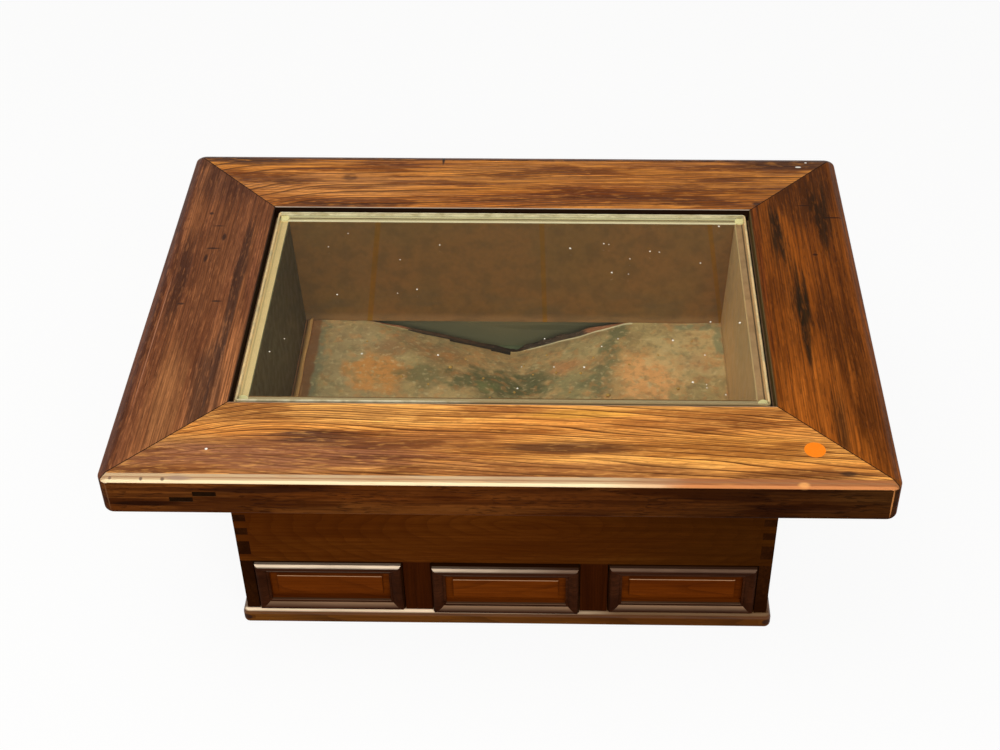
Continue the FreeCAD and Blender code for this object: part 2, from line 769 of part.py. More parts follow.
def make_drawer_box(name, middle, pull):
    """The bottom, two sides and back behind a drawer's front."""
    start = FRONT_BACK_Y - pull
    end = start + OPEN_Y * 2 - s.drawer_back_gap
    left, right = middle - FRONT_HALF, middle + FRONT_HALF
    floor = DRAWER_Z + s.drawer_bottom_thick
    top = DRAWER_Z + FRONT_HIGH - s.drawer_side_drop
    back_start = end - s.drawer_side_thick
    inner_left, inner_right = left + s.drawer_side_thick, right - s.drawer_side_thick
    plank(f"drawer_bottom_{name}", (left, right), (start, end), (DRAWER_Z, floor))
    plank(f"drawer_left_side_{name}", (left, inner_left), (start, end), (floor, top))
    plank(f"drawer_right_side_{name}", (inner_right, right), (start, end), (floor, top))
    plank(f"drawer_back_{name}", (inner_left, inner_right), (back_start, end), (floor, top - s.drawer_back_drop))


def make_drawers():
    pitch = DRAWER_OPEN + s.stile_wide
    for name, middle, pull in (("left", -pitch, 0), ("middle", 0, s.middle_drawer_ajar), ("right", pitch, 0)):
        make_drawer_front(name, middle, pull)
        make_moulding(name, middle, pull)
        make_drawer_box(name, middle, pull)


# The copper liner.

def make_liner_wall(side, out_x, out_y):
    """A leaning wall with mitred ends, lofted from the floor to the flange's top."""
    half, reach = (LINER_X, LINER_Y) if out_y else (LINER_Y, LINER_X)
    sheet_thick = s.copper_thick
    wall = Piece(f"liner_wall_{side}")
    sketches = []
    for inset, lift in ((s.liner_taper, 0), (0, FLANGE_TOP_Z - FLOOR_Z)):
        inner, face = half - inset, reach - inset
        plan = [(-(inner + sheet_thick), -(face + sheet_thick)), (inner + sheet_thick, -(face + sheet_thick)),
                (inner, -face), (-inner, -face)]
        sketches.append(wall.sketch("XY_Plane", [plan], lift=lift))
    loft = wall.body.newObject("PartDesign::AdditiveLoft", "Loft")
    loft.Profile = sketches[0]
    loft.Sections = [sketches[1]]
    loft.Ruled = True
    wall.place(0, 0, FLOOR_Z, outward_turn(out_x, out_y))


def make_liner_flange():
    """The turned-out rim of the liner, in four mitred strips."""
    strips = []
    for side, (out_x, out_y) in SIDE_SHARES.items():
        half, reach = (OPEN_X, OPEN_Y) if out_y else (OPEN_Y, OPEN_X)
        outer = half - s.liner_rim_gap
        width = s.bearer_wide + s.liner_fit - s.liner_rim_gap
        strip = Piece(f"flange_{side}", node=False)
        strip.pad(strip.sketch("XY_Plane", [mitred(outer, width, 0)]), s.copper_thick)
        edge = reach - s.liner_rim_gap
        strip.place(edge * out_x, edge * out_y, BEARER_TOP_Z, outward_turn(out_x, out_y))
        strips.append(strip.body)
    group("liner_flange", strips)


def sheet_under(*corners):
    """A piece of copper sheet whose top face has these corners."""
    wire = Part.makePolygon(list(corners) + [corners[0]])
    return Part.Face(wire).extrude(Z_AXIS * -s.copper_thick.value)


def make_liner_floor():
    """The loose floor: flat round the edges, sagging in two facets towards the back."""
    thick = s.copper_thick.value
    inner_x, inner_y = (LINER_X - s.liner_taper).value, (LINER_Y - s.liner_taper).value
    half_x, half_y = inner_x + thick, inner_y + thick
    point = FreeCAD.Vector
    loose_left = point(half_x * LOOSE_LEFT_SHARE, half_y, 0)
    loose_right = point(half_x * LOOSE_RIGHT_SHARE, half_y, 0)
    lowest = point(half_x * LOW_POINT_SHARE, half_y - s.sag_pull.value, -s.sag_drop.value)
    crease = point(half_x * CREASE_SHARES[0], half_y * CREASE_SHARES[1], 0)
    flat = sheet_under(point(-half_x, half_y, 0), point(-half_x, -half_y, 0), point(half_x, -half_y, 0),
                       point(half_x, half_y, 0), loose_right, crease, loose_left)
    facets = [sheet_under(loose_left, crease, lowest), sheet_under(loose_right, lowest, crease)]
    torn_top = lowest + Z_AXIS * s.torn_edge_high.value
    torn = []
    for end in (loose_left, loose_right):
        face = Part.Face(Part.makePolygon([end, lowest, torn_top, end]))
        torn.append(face.extrude(Y_AXIS * -thick))
    lean, high = s.lip_lean.value, s.lip_high.value
    foot = [point(-inner_x, -inner_y, 0), point(thick - inner_x, -inner_y, 0),
            point(lean + thick - inner_x, -inner_y, high), point(lean - inner_x, -inner_y, high)]
    lip = Part.Face(Part.makePolygon(foot + [foot[0]])).extrude(Y_AXIS * inner_y * 2)
    floor = doc.addObject("Part::Feature", "liner_floor")
    floor.Label = "liner_floor"
    floor.Shape = flat.multiFuse(facets + torn + [lip]).removeSplitter()
    place(floor, 0, 0, FLOOR_Z)
    nodes.append(floor)


# The glass.

def make_glass():
    half_x, half_y = OPEN_X - s.glass_gap, OPEN_Y - s.glass_gap
    glass = Piece("glass_top")
    glass.pad(glass.sketch("XY_Plane", [rectangle(-half_x, half_x, -half_y, half_y)]), s.glass_thick)
    for x in (-half_x, half_x):
        for y in (-half_y, half_y):
            glass.round(s.glass_corner, (x, y, 0), (x, y, s.glass_thick))
    glass.round(s.glass_bevel, (None, None, s.glass_thick), (None, None, None), "PartDesign::Chamfer")
    glass.round(s.glass_bevel, (None, None, None), (None, None, 0), "PartDesign::Chamfer")
    glass.place(0, 0, FLANGE_TOP_Z + s.pad_thick)


def make_glass_pads():
    """Four clear discs on the liner's flange, under the glass's corners."""
    pads = []
    middle_inset = (s.glass_gap + s.bearer_wide + s.liner_fit + s.copper_thick) / 2
    for x, y in CORNER_SHARES:
        pad = doc.addObject("Part::Cylinder", "glass_pad")
        bind(pad, "Radius", s.pad_radius)
        bind(pad, "Height", s.pad_thick)
        place(pad, (OPEN_X - middle_inset) * x, (OPEN_Y - middle_inset) * y, FLANGE_TOP_Z)
        pads.append(pad)
    group("glass_pads", pads)


def check_document():
    """Stop if any feature failed or any node has no sound shape."""
    for item in doc.Objects:
        bad = [word for word in ("Invalid", "Error") if word in item.State]
        if bad:
            raise ValueError(f"{item.Label}: {bad}")
    for node in nodes:
        if node.Shape.isNull() or not node.Shape.isValid():
            raise ValueError(f"{node.Label} has no sound shape")


def write_parts():
    os.makedirs("parts", exist_ok=True)
    for node in nodes:
        node.Shape.exportStep(os.path.join("parts", node.Label + ".step"))


for side_name, way_out in SIDE_SHARES.items():
    make_rim(side_name, *way_out)
    make_plinth_rail(side_name, *way_out)
    make_liner_wall(side_name, *way_out)
make_draw_keys()
make_mitre_tongues()
make_front_board()
make_back_board()
make_side_board("left", -1)
make_side_board("right", 1)
make_bearers()
make_pegs()
make_stile("left", -1)
make_stile("right", 1)
make_inner_boards()
make_drawers()
make_liner_flange()
make_liner_floor()
make_glass()
make_glass_pads()

doc.recompute()
check_document()
write_parts()
print(len(nodes), "nodes")
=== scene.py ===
"""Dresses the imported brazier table: waxed wood, an aged copper liner, a sheet of glass."""
import logging
import math
from collections.abc import Callable
from dataclasses import dataclass, replace
from enum import Enum

import bmesh
import bpy
from mathutils import Matrix, Vector, noise


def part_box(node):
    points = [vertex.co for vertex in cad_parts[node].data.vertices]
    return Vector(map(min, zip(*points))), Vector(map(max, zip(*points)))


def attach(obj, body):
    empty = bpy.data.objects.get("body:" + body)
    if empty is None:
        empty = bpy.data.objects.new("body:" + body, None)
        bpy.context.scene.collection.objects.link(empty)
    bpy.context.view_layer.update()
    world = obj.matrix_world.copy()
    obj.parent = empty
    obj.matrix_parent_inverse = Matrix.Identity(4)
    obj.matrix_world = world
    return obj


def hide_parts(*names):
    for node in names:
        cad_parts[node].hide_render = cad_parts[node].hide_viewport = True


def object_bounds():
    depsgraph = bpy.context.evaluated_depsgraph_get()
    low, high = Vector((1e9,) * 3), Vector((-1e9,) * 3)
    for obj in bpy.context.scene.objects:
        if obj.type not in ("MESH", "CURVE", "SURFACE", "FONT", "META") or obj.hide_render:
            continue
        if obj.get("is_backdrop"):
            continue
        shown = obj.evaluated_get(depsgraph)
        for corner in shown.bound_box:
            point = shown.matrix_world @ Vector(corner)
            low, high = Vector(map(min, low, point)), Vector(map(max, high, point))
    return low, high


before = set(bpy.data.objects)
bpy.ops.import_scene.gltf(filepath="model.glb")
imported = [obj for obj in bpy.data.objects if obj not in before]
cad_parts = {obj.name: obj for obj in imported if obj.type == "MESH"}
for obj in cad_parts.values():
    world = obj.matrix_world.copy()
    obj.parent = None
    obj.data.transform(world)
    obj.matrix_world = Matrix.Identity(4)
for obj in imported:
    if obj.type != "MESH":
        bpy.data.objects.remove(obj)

log = logging.getLogger("brazier_table")

Colour = tuple[float, float, float]
Place = tuple[float, float, float]
Plan = tuple[float, float]

# How far a drawn edge is softened, in metres, the near black of seams, and the painted shade of sunk places.
EDGE_SOFT = 0.001
SEAM_DARK = (0.016, 0.007, 0.003)
SUNK_SHADE = (0.012, 0.005, 0.002)


def opaque(colour: Colour) -> tuple[float, float, float, float]:
    """Give a colour the alpha that Blender's sockets want.

    Args:
        colour: red, green and blue, linear.

    Returns:
        The colour with an alpha of one.
    """
    return (*colour, 1.0)


class Graph:
    """A material's node tree, built by small calls that hand back sockets."""

    def __init__(self, name: str) -> None:
        """Start an empty tree.

        Args:
            name: the material's name.
        """
        self.material = bpy.data.materials.new(name)
        self.material.use_nodes = True
        self.tree = self.material.node_tree
        self.tree.nodes.clear()

    def node(self, kind: str, inputs: dict, **settings: object) -> bpy.types.Node:
        """Add a node.

        Args:
            kind: the node's type.
            inputs: a socket or a plain value for each input, by name or number.
            settings: the node's own properties.

        Returns:
            The new node.
        """
        made = self.tree.nodes.new(kind)
        for key, value in settings.items():
            setattr(made, key, value)
        for key, value in inputs.items():
            if isinstance(value, bpy.types.NodeSocket):
                self.tree.links.new(value, made.inputs[key])
            else:
                made.inputs[key].default_value = value
        return made

    def math(self, operation: str, first: object, second: object = 0.0) -> bpy.types.NodeSocket:
        """Work out one number from two."""
        return self.node("ShaderNodeMath", {0: first, 1: second}, operation=operation).outputs[0]

    def vector(self, operation: str, first: object, second: Place = (0.0, 0.0, 0.0)) -> bpy.types.NodeSocket:
        """Work out one vector from two."""
        return self.node("ShaderNodeVectorMath", {0: first, 1: second}, operation=operation).outputs[0]

    def length(self, vector: object) -> bpy.types.NodeSocket:
        """Measure a vector."""
        return self.node("ShaderNodeVectorMath", {0: vector}, operation="LENGTH").outputs["Value"]

    def span(self, value: object, low: float, high: float, to_low: float = 0.0,
             to_high: float = 1.0) -> bpy.types.NodeSocket:
        """Carry a value smoothly from one range to another, held at both ends."""
        made = self.node("ShaderNodeMapRange", {0: value, 1: low, 2: high, 3: to_low, 4: to_high},
                         interpolation_type="SMOOTHSTEP")
        return made.outputs[0]

    def blend(self, share: object, first: object, second: object, mode: str = "MIX") -> bpy.types.NodeSocket:
        """Mix two colours.

        Args:
            share: how much of the second colour shows, from 0 to 1.
            first: the colour below.
            second: the colour above.
            mode: the way to mix them.

        Returns:
            The mixed colour's socket.
        """
        made = self.node("ShaderNodeMix", {}, data_type="RGBA", blend_type=mode)
        for key, value in ((0, share), (6, first), (7, second)):
            if isinstance(value, bpy.types.NodeSocket):
                self.tree.links.new(value, made.inputs[key])
            else:
                made.inputs[key].default_value = opaque(value) if isinstance(value, tuple) else value
        return made.outputs[2]

    def noise(self, place: object, stretch: Place, detail: float = 2.0) -> bpy.types.NodeSocket:
        """Read noise.

        Args:
            place: the place to read it at, in metres.
            stretch: bumps per metre along each axis.
            detail: how many finer layers it has.

        Returns:
            The noise's socket, from 0 to 1.
        """
        scaled = self.vector("MULTIPLY", place, stretch)
        made = self.node("ShaderNodeTexNoise", {"Vector": scaled, "Scale": 1.0, "Detail": detail})
        return made.outputs[0]

    def place(self) -> bpy.types.NodeSocket:
        """The place on the part at rest, in metres."""
        return self.node("ShaderNodeTexCoord", {}).outputs["Object"]

    def split(self, vector: object) -> list[bpy.types.NodeSocket]:
        """Take a vector's three numbers apart."""
        return list(self.node("ShaderNodeSeparateXYZ", {0: vector}).outputs)

    def join(self, first: object, second: object, third: object) -> bpy.types.NodeSocket:
        """Make a vector of three numbers."""
        return self.node("ShaderNodeCombineXYZ", {0: first, 1: second, 2: third}).outputs[0]

    def normal(self) -> list[bpy.types.NodeSocket]:
        """Which way the surface faces, as three numbers."""
        return self.split(self.node("ShaderNodeNewGeometry", {}).outputs["Normal"])

    def bump(self, height: object, depth: float) -> bpy.types.NodeSocket:
        """Turn a height into a bent normal; depth is in metres."""
        return self.node("ShaderNodeBump", {"Height": height, "Distance": depth, "Strength": 1.0}).outputs[0]

    def seen(self) -> bpy.types.NodeSocket:
        """Tell the rays that see or mirror a surface from those that it lights.

        Returns:
            One for camera, glossy and transmission rays, and zero for others.
        """
        rays = self.node("ShaderNodeLightPath", {})
        either = self.math("MAXIMUM", rays.outputs["Is Camera Ray"], rays.outputs["Is Glossy Ray"])
        return self.math("MAXIMUM", either, rays.outputs["Is Transmission Ray"])

    def finish(self, shader: bpy.types.NodeSocket) -> bpy.types.Material:
        """Send a shader to the surface and hand back the material."""
        self.node("ShaderNodeOutputMaterial", {"Surface": shader})
        return self.material


class WorldGraph(Graph):
    """The world's node tree."""

    def __init__(self, name: str) -> None:
        """Make the world, and make it the scene's.

        Args:
            name: the world's name.
        """
        world = bpy.data.worlds.new(name)
        bpy.context.scene.world = world
        world.use_nodes = True
        self.tree = world.node_tree
        self.tree.nodes.clear()


@dataclass(frozen=True)
class Matt:
    """A finish clouded between two colours. The bump's depth is in metres."""

    first: Colour
    second: Colour
    fineness: float
    detail: float
    rough: Plan
    specular: float
    depth: float
    rough_from: Plan = (0.3, 0.7)

    def build(self, name: str) -> bpy.types.Material:
        """Make the material.

        Args:
            name: the material's name.

        Returns:
            The finish's material.
        """
        graph = Graph(name)
        cloud = graph.noise(graph.place(), (self.fineness,) * 3, self.detail)
        shader = graph.node("ShaderNodeBsdfPrincipled", {
            "Base Color": graph.blend(cloud, self.first, self.second),
            "Roughness": graph.span(cloud, *self.rough_from, *self.rough),
            "Specular IOR Level": self.specular,
            "Normal": graph.bump(cloud, self.depth),
        })
        return graph.finish(shader.outputs[0])


OCHRE_CRUMB = Matt((0.80, 0.50, 0.14), (0.45, 0.24, 0.07), 700.0, 3.0, (0.7, 0.9), 0.1, 0.0004)
PALE_DUST = Matt((0.95, 0.93, 0.84), (0.80, 0.74, 0.60), 1500.0, 2.0, (0.8, 0.95), 0.1, 0.0002)
CLEAR_PAD = Matt((1.0, 0.93, 0.56), (1.0, 0.86, 0.42), 300.0, 2.0, (0.25, 0.4), 0.3, 0.0003, (0.2, 0.8))


class Grain(Enum):
    """Which axes a board's grain runs along, across its face and into it."""

    TOP_LONG = (0, 1, 2)
    TOP_SHORT = (1, 0, 2)
    FACE_LONG = (0, 2, 1)
    FACE_SHORT = (1, 2, 0)
    UPRIGHT = (2, 0, 1)


@dataclass(frozen=True)
class Stain:
    """A ragged patch of another colour on a board; its reach is where it has faded to half."""

    centre: Place
    reach: Place
    colour: Colour
    strength: float
    fray: float = 0.9
    soft: float = 0.9


@dataclass(frozen=True)
class Wood:
    """The look of one kind of wood. Lengths are in metres, colours linear."""

    light: Colour
    middle: Colour
    dark: Colour
    line: Colour
    # worn and the fields that shape its mask colour the leaning rounded edges: a painted highlight, with
    # some wear, where worn is pale; where it is dark the edges are only darkened.
    worn: Colour
    line_gap: float
    line_strength: float
    heart: Plan
    wander: float
    line_wide: float = 0.34
    tilt: float = 0.0
    sweep: float = 0.0
    curl: float = 0.0
    dip: Plan = (0.0, 0.0)
    band: float = 0.35
    streak: float = 0.4
    fibre: float = 0.45
    pore_strength: float = 0.45
    patch: Plan = (0.38, 0.62)
    grime: float = 0.0
    sparkle: float = 0.0
    # wall is painted shade on the walls of the opening.
    wall: Colour = (0.010, 0.005, 0.003)
    # This field is painted shade on the upright faces; edge_far darkens them further towards the right.
    upright_shade: Colour = (1.0, 1.0, 1.0)
    edge_far: Colour = (1.0, 1.0, 1.0)
    edge_light_wear_far: Colour | None = None
    edge_light_wear_fade: Plan = (0.08, 0.17)
    edge_light_wear_share: float = 0.6
    edge_light_wear_low: float = 0.15
    edge_light_wear_soft: float = 0.2
    edge_light_wear_high: float = 0.955
    edge_light_wear_flat: float = 0.0
    edge_light_wear_above: float = 0.0
    edge_light_wear_under: float = 0.2
    edge_light_wear_below: Colour = (0.50, 0.30, 0.17)
    ridge: Colour = (0.30, 0.14, 0.060)
    # rim and rim_far: a painted highlight along the outer part of the top's front arris, cream fading to
    # orange-brown towards the right, with some wear.
    rim: Colour = (0.98, 0.80, 0.50)
    rim_far: Colour = (0.64, 0.24, 0.080)
    lip: Colour = (0.30, 0.20, 0.14)
    roughness: float = 0.42
    gloss: float = 0.14
    relief: float = 0.0003
    dim: Colour = (0.32, 0.25, 0.16)
    stains: tuple[Stain, ...] = ()
    marks: tuple[Stain, ...] = ()


@dataclass(frozen=True)
class Mitres:
    """The top's half sizes and its opening's, and the width of a seam, in metres."""

    half_x: float
    half_y: float
    open_x: float
    open_y: float
    seam: float = 0.00035
    ridge_in: float = 0.0040
    ridge: float = 0.00035
    slope_foot: float = 0.270
    sweep_reach: float = 0.10


class WoodShader:
    """Builds a wood material: growth lines, pores, bands, patches, wear and a waxed gloss."""

    def __init__(self, name: str, wood: Wood, grain: Grain, seed: float,
                 mitres: Mitres | None = None) -> None:
        """Lay out the board's own axes.

        Args:
            name: the material's name.
            wood: the finish.
            grain: which way the grain runs.
            seed: moves the noise, so that no two boards match.
            mitres: the top's plan, for a board with mitred ends.
        """
        self.graph = Graph(name)
        self.wood = wood
        self.grain = grain
        self.seed = seed
        self.mitres = mitres
        self.parts = self.graph.split(self.graph.place())
        along, across, deep = (self.parts[axis] for axis in grain.value)
        self.along = along
        joined = self.graph.join(along, across, deep)
        self.space = self.graph.vector("ADD", joined, (seed * 3.1, 0.0, 0.0))
        self.frays = self.graph.noise(self.space, (13.0, 210.0, 210.0), 5.0)

    def sway(self, place: bpy.types.NodeSocket, stretch: Place, reach: float) -> bpy.types.NodeSocket:
        """Noise that sways either side of zero by up to a reach."""
        graph = self.graph
        return graph.math("MULTIPLY", graph.math("SUBTRACT", graph.noise(place, stretch), 0.5), reach * 2)

    def growth(self) -> bpy.types.NodeSocket:
        """Count the growth rings between the tree's heart and here.

        Returns:
            The count's socket.
        """
        graph, wood = self.graph, self.wood
        shifted = graph.vector("ADD", self.space, (0.0, self.seed, self.seed * 1.7))
        _, across, deep = graph.split(self.space)
        across = graph.math("SUBTRACT", across, wood.heart[0])
        across = graph.math("ADD", across, self.sway(shifted, (2.2, 5.0, 5.0), wood.wander))
        across = graph.math("ADD", across, self.sway(shifted, (10.0, 26.0, 26.0), wood.line_gap * 0.22))
        if wood.curl:
            across = graph.math("ADD", across, self.sway(shifted, (11.0, 16.0, 16.0), wood.curl))
        if wood.tilt:
            across = graph.math("ADD", across, graph.math("MULTIPLY", self.along, wood.tilt))
        if wood.sweep and self.mitres:
            across = graph.math("ADD", across, self.bend())
        deep = graph.math("SUBTRACT", deep, wood.heart[1])
        if wood.dip[0]:
            from_middle = graph.math("SUBTRACT", self.along, wood.dip[1])
            deep = graph.math("ADD", deep, graph.math("MULTIPLY", from_middle, wood.dip[0]))
        flat = graph.join(0.0, across, deep)
        radius = graph.length(flat)
        uneven = graph.math("MULTIPLY", graph.noise(shifted, (0.7, 26.0, 26.0)), 2.8)
        return graph.math("ADD", graph.math("DIVIDE", radius, wood.line_gap), uneven)

    def bend(self) -> bpy.types.NodeSocket:
        """Sweep the lines aside close to the left mitre.

        Returns:
            How far, as a socket.
        """
        graph, mitres = self.graph, self.mitres
        x, y, _ = self.parts
        apart = graph.math("ADD", x, graph.math("ABSOLUTE", y))
        apart = graph.math("ADD", apart, mitres.half_x - mitres.half_y)
        near = graph.math("MAXIMUM", graph.math("SUBTRACT", mitres.sweep_reach, apart), 0.0)
        return graph.math("MULTIPLY", graph.math("MULTIPLY", near, near), self.wood.sweep)

    def far(self, low: float, high: float) -> bpy.types.NodeSocket:
        """The share of the way to the right along X, a little ragged."""
        ragged = self.sway(self.graph.place(), (30.0, 90.0, 90.0), 0.03)
        return self.graph.span(self.graph.math("ADD", self.parts[0], ragged), low, high)

    def edge_light_and_wear(self, colour: bpy.types.NodeSocket) -> bpy.types.NodeSocket:
        """Paint the leaning upper edges with the worn colour, most of all on the front: a painted highlight,
        with some wear, where that colour is pale; where it is dark the edges are only darkened.

        Args:
            colour: the wood's colour.

        Returns:
            The colour with its painted edge highlight, darkening and wear.
        """
        graph, wood = self.graph, self.wood
        _, facing_y, facing_z = graph.normal()
        steep = graph.span(facing_z, wood.edge_light_wear_low, wood.edge_light_wear_low + wood.edge_light_wear_soft)
        flat = graph.span(facing_z, wood.edge_light_wear_high, wood.edge_light_wear_high + 0.037, 1.0, wood.edge_light_wear_flat)
        leaning = graph.math("MULTIPLY", steep, flat)
        patchy = graph.span(graph.noise(graph.place(), (9.0, 60.0, 60.0), 4.0), 0.34, 0.50, 0.72, 1.0)
        share = graph.math("MULTIPLY", leaning, graph.span(facing_y, -0.30, 0.05, 1.0, 0.10))
        share = graph.math("MULTIPLY", share, graph.math("MULTIPLY", patchy, wood.edge_light_wear_share))
        if wood.edge_light_wear_above:
            high = graph.span(self.parts[2], wood.edge_light_wear_above - EDGE_SOFT, wood.edge_light_wear_above,
                              wood.edge_light_wear_under, 1.0)
            share = graph.math("MULTIPLY", share, high)
        tint = wood.worn
        if wood.edge_light_wear_far:
            tint = graph.blend(self.far(*wood.edge_light_wear_fade), wood.worn, wood.edge_light_wear_far)
        if wood.edge_light_wear_above:
            tint = graph.blend(graph.span(self.parts[2], wood.edge_light_wear_above - EDGE_SOFT, wood.edge_light_wear_above),
                               wood.edge_light_wear_below, tint)
        colour = graph.blend(share, colour, tint)
        if wood.edge_light_wear_far and self.mitres:
            apart = graph.math("ABSOLUTE", graph.math("ADD", self.parts[1],
                                                      self.mitres.half_y - self.mitres.ridge_in))
            ridge = graph.span(apart, self.mitres.ridge, self.mitres.ridge * 2.5, 0.65, 0.0)
            colour = graph.blend(graph.math("MULTIPLY", ridge, leaning), colour, wood.ridge)
            # Painted highlight: a cream band along the outer part of the front arris, with some wear.
            rim = graph.span(graph.math("ADD", self.parts[1], self.mitres.half_y), 0.0016, 0.0022, 0.85, 0.0)
            cream = graph.blend(self.far(*wood.edge_light_wear_fade), wood.rim, wood.rim_far)
            colour = graph.blend(graph.math("MULTIPLY", rim, leaning), colour, cream)
        return colour

    def seams(self, colour: bpy.types.NodeSocket) -> bpy.types.NodeSocket:
        """Darken the lines where the top's boards meet, and paint shade on the walls of the opening and on
        sunk places.

        Args:
            colour: the wood's colour.

        Returns:
            The colour with its seams and painted shade.
        """
        graph, mitres = self.graph, self.mitres
        across, up = (graph.math("ABSOLUTE", part) for part in self.parts[:2])
        inward = graph.math("MAXIMUM", graph.math("SUBTRACT", across, mitres.open_x),
                            graph.math("SUBTRACT", up, mitres.open_y))
        lip = graph.math("MULTIPLY", graph.span(inward, 0.0003, 0.0006),
                         graph.span(inward, 0.0011, 0.0016, 1.0, 0.0))
        colour = graph.blend(graph.math("MULTIPLY", lip, 0.85), colour, self.wood.lip)
        # Painted shade: the walls of the opening go near black.
        colour = graph.blend(graph.span(inward, 0.0003, 0.0006, 0.97, 0.0), colour, self.wood.wall)
        # Painted shade on sunk places below the top's surface.
        sunk = graph.math("MULTIPLY", graph.span(graph.normal()[2], 0.3, 0.5),
                          graph.span(self.parts[2], mitres.slope_foot - 0.002, mitres.slope_foot, 0.95, 0.0))
        colour = graph.blend(sunk, colour, SUNK_SHADE)
        apart = graph.math("SUBTRACT", graph.math("SUBTRACT", across, up), mitres.half_x - mitres.half_y)
        near = graph.span(graph.math("ABSOLUTE", apart), mitres.seam, mitres.seam * 3.2, 0.9, 0.0)
        return graph.blend(near, colour, SEAM_DARK)

    def stained(self, colour: bpy.types.NodeSocket, stain: Stain) -> bpy.types.NodeSocket:
        """Lay one stain over a colour, its edge frayed along the grain.

        Args:
            colour: the wood's colour.
            stain: the patch to lay.

        Returns:
            The colour with the stain.
        """
        graph = self.graph
        offset = graph.vector("SUBTRACT", graph.place(), stain.centre)
        scaled = graph.vector("DIVIDE", offset, stain.reach)
        radius = graph.length(scaled)
        fray = graph.math("MULTIPLY", graph.math("SUBTRACT", self.frays, 0.5), stain.fray * 2)
        ragged = graph.math("ADD", radius, fray)
        share = graph.span(ragged, 1 - stain.soft / 2, 1 + stain.soft / 2, stain.strength, 0.0)
        return graph.blend(share, colour, stain.colour)

    def shade_uprights(self, colour: bpy.types.NodeSocket) -> bpy.types.NodeSocket:
        """Paint shade on the upright faces, and darken them more towards the right.

        Args:
            colour: the wood's colour.

        Returns:
            The colour with its painted shade.
        """
        graph, wood = self.graph, self.wood
        upright = graph.span(graph.normal()[2], 0.10, 0.45, 1.0, 0.0)
        tint = graph.blend(self.far(-0.05, 0.24), wood.upright_shade, wood.edge_far)
        return graph.blend(upright, colour, graph.blend(1.0, colour, tint, "MULTIPLY"))

    def lines(self, ring: bpy.types.NodeSocket, growth: bpy.types.NodeSocket) -> bpy.types.NodeSocket:
        """Draw the dark growth lines, with thin ones between them on the top's flat.

        Args:
            ring: the place within one ring.
            growth: the count of rings.

        Returns:
            How dark the lines are.
        """
        graph, wood, space = self.graph, self.wood, self.space
        strong = graph.span(graph.noise(space, (3.5, 34.0, 34.0)), 0.34, 0.56, 0.45, 1.0)
        line = graph.math("MULTIPLY", graph.span(ring, 0.0, wood.line_wide, 1.0, 0.0), strong)
        if not self.mitres:
            return line
        closer = graph.math("FRACT", graph.math("MULTIPLY", growth, 3.0))
        thin = graph.math("MULTIPLY", graph.span(closer, 0.0, 0.46, 0.85, 0.0),
                          graph.span(graph.noise(space, (4.0, 55.0, 55.0), 2.0), 0.34, 0.56, 0.15, 1.0))
        line = graph.math("MAXIMUM", line, thin)
        return graph.math("MULTIPLY", line, graph.span(graph.normal()[2], 0.30, 0.80, 0.0, 1.0))

    def streaks(self) -> bpy.types.NodeSocket:
        """Find the bands, streaks, flecks and grime that dim the wood.

        Returns:
            How much each place is dimmed.
        """
        graph, wood, space = self.graph, self.wood, self.space
        aside = graph.vector("ADD", space, (7.0, 3.0, 5.0))
        band = graph.span(graph.noise(aside, (1.3, 60.0, 60.0), 3.0), 0.42, 0.62, 0.0, wood.band)
        streak = graph.span(graph.noise(aside, (4.0, 190.0, 190.0), 3.0), 0.42, 0.62, 0.0, wood.streak)
        specks = graph.noise(aside, (170.0, 300.0, 300.0), 2.0)
        fleck = graph.span(specks, 0.48, 0.66, 0.0, wood.streak * 0.6)
        dim = graph.math("MAXIMUM", band, graph.math("MAXIMUM", streak, fleck))
        if wood.grime:
            worn_in = graph.noise(graph.vector("ADD", space, (2.0, 9.0, 4.0)), (7.0, 62.0, 62.0), 6.0)
            dim = graph.math("MAXIMUM", dim, graph.span(worn_in, 0.50, 0.60, 0.0, wood.grime))
        return dim

    def build(self) -> bpy.types.Material:
        """Make the material.

        Returns:
            The wood's material.
        """
        graph, wood, space = self.graph, self.wood, self.space
        growth = self.growth()
        ring = graph.math("FRACT", growth)
        line = self.lines(ring, growth)
        dashes = graph.noise(space, (95.0, 640.0, 640.0), 1.0)
        pores = graph.math("MULTIPLY", graph.span(dashes, 0.53, 0.60),
                           graph.span(ring, 0.0, 0.80, 1.0, 0.30))
        patch = graph.span(graph.noise(space, (4.0, 24.0, 24.0), 3.0), *wood.patch)
        fibre = graph.noise(space, (14.0, 520.0, 520.0), 2.0)
        colour = graph.blend(patch, wood.middle, wood.light)
        for stain in wood.stains:
            colour = self.stained(colour, stain)
        colour = graph.blend(self.streaks(), colour, graph.blend(1.0, colour, wood.dim, "MULTIPLY"))
        if wood.sparkle:
            crackle = graph.noise(space, (75.0, 420.0, 420.0), 3.0)
            flat = graph.span(graph.normal()[2], 0.80, 0.95, 0.0, wood.sparkle)
            flecks = graph.math("MULTIPLY", graph.span(crackle, 0.50, 0.70), flat)
            colour = graph.blend(flecks, colour, graph.blend(0.6, colour, wood.light))
        colour = graph.blend(graph.span(fibre, 0.36, 0.60, wood.fibre, 0.0), colour, wood.dark)
        darkness = graph.math("MAXIMUM", graph.math("MULTIPLY", line, wood.line_strength),
                              graph.math("MULTIPLY", pores, wood.pore_strength))
        colour = graph.blend(darkness, colour, wood.line)
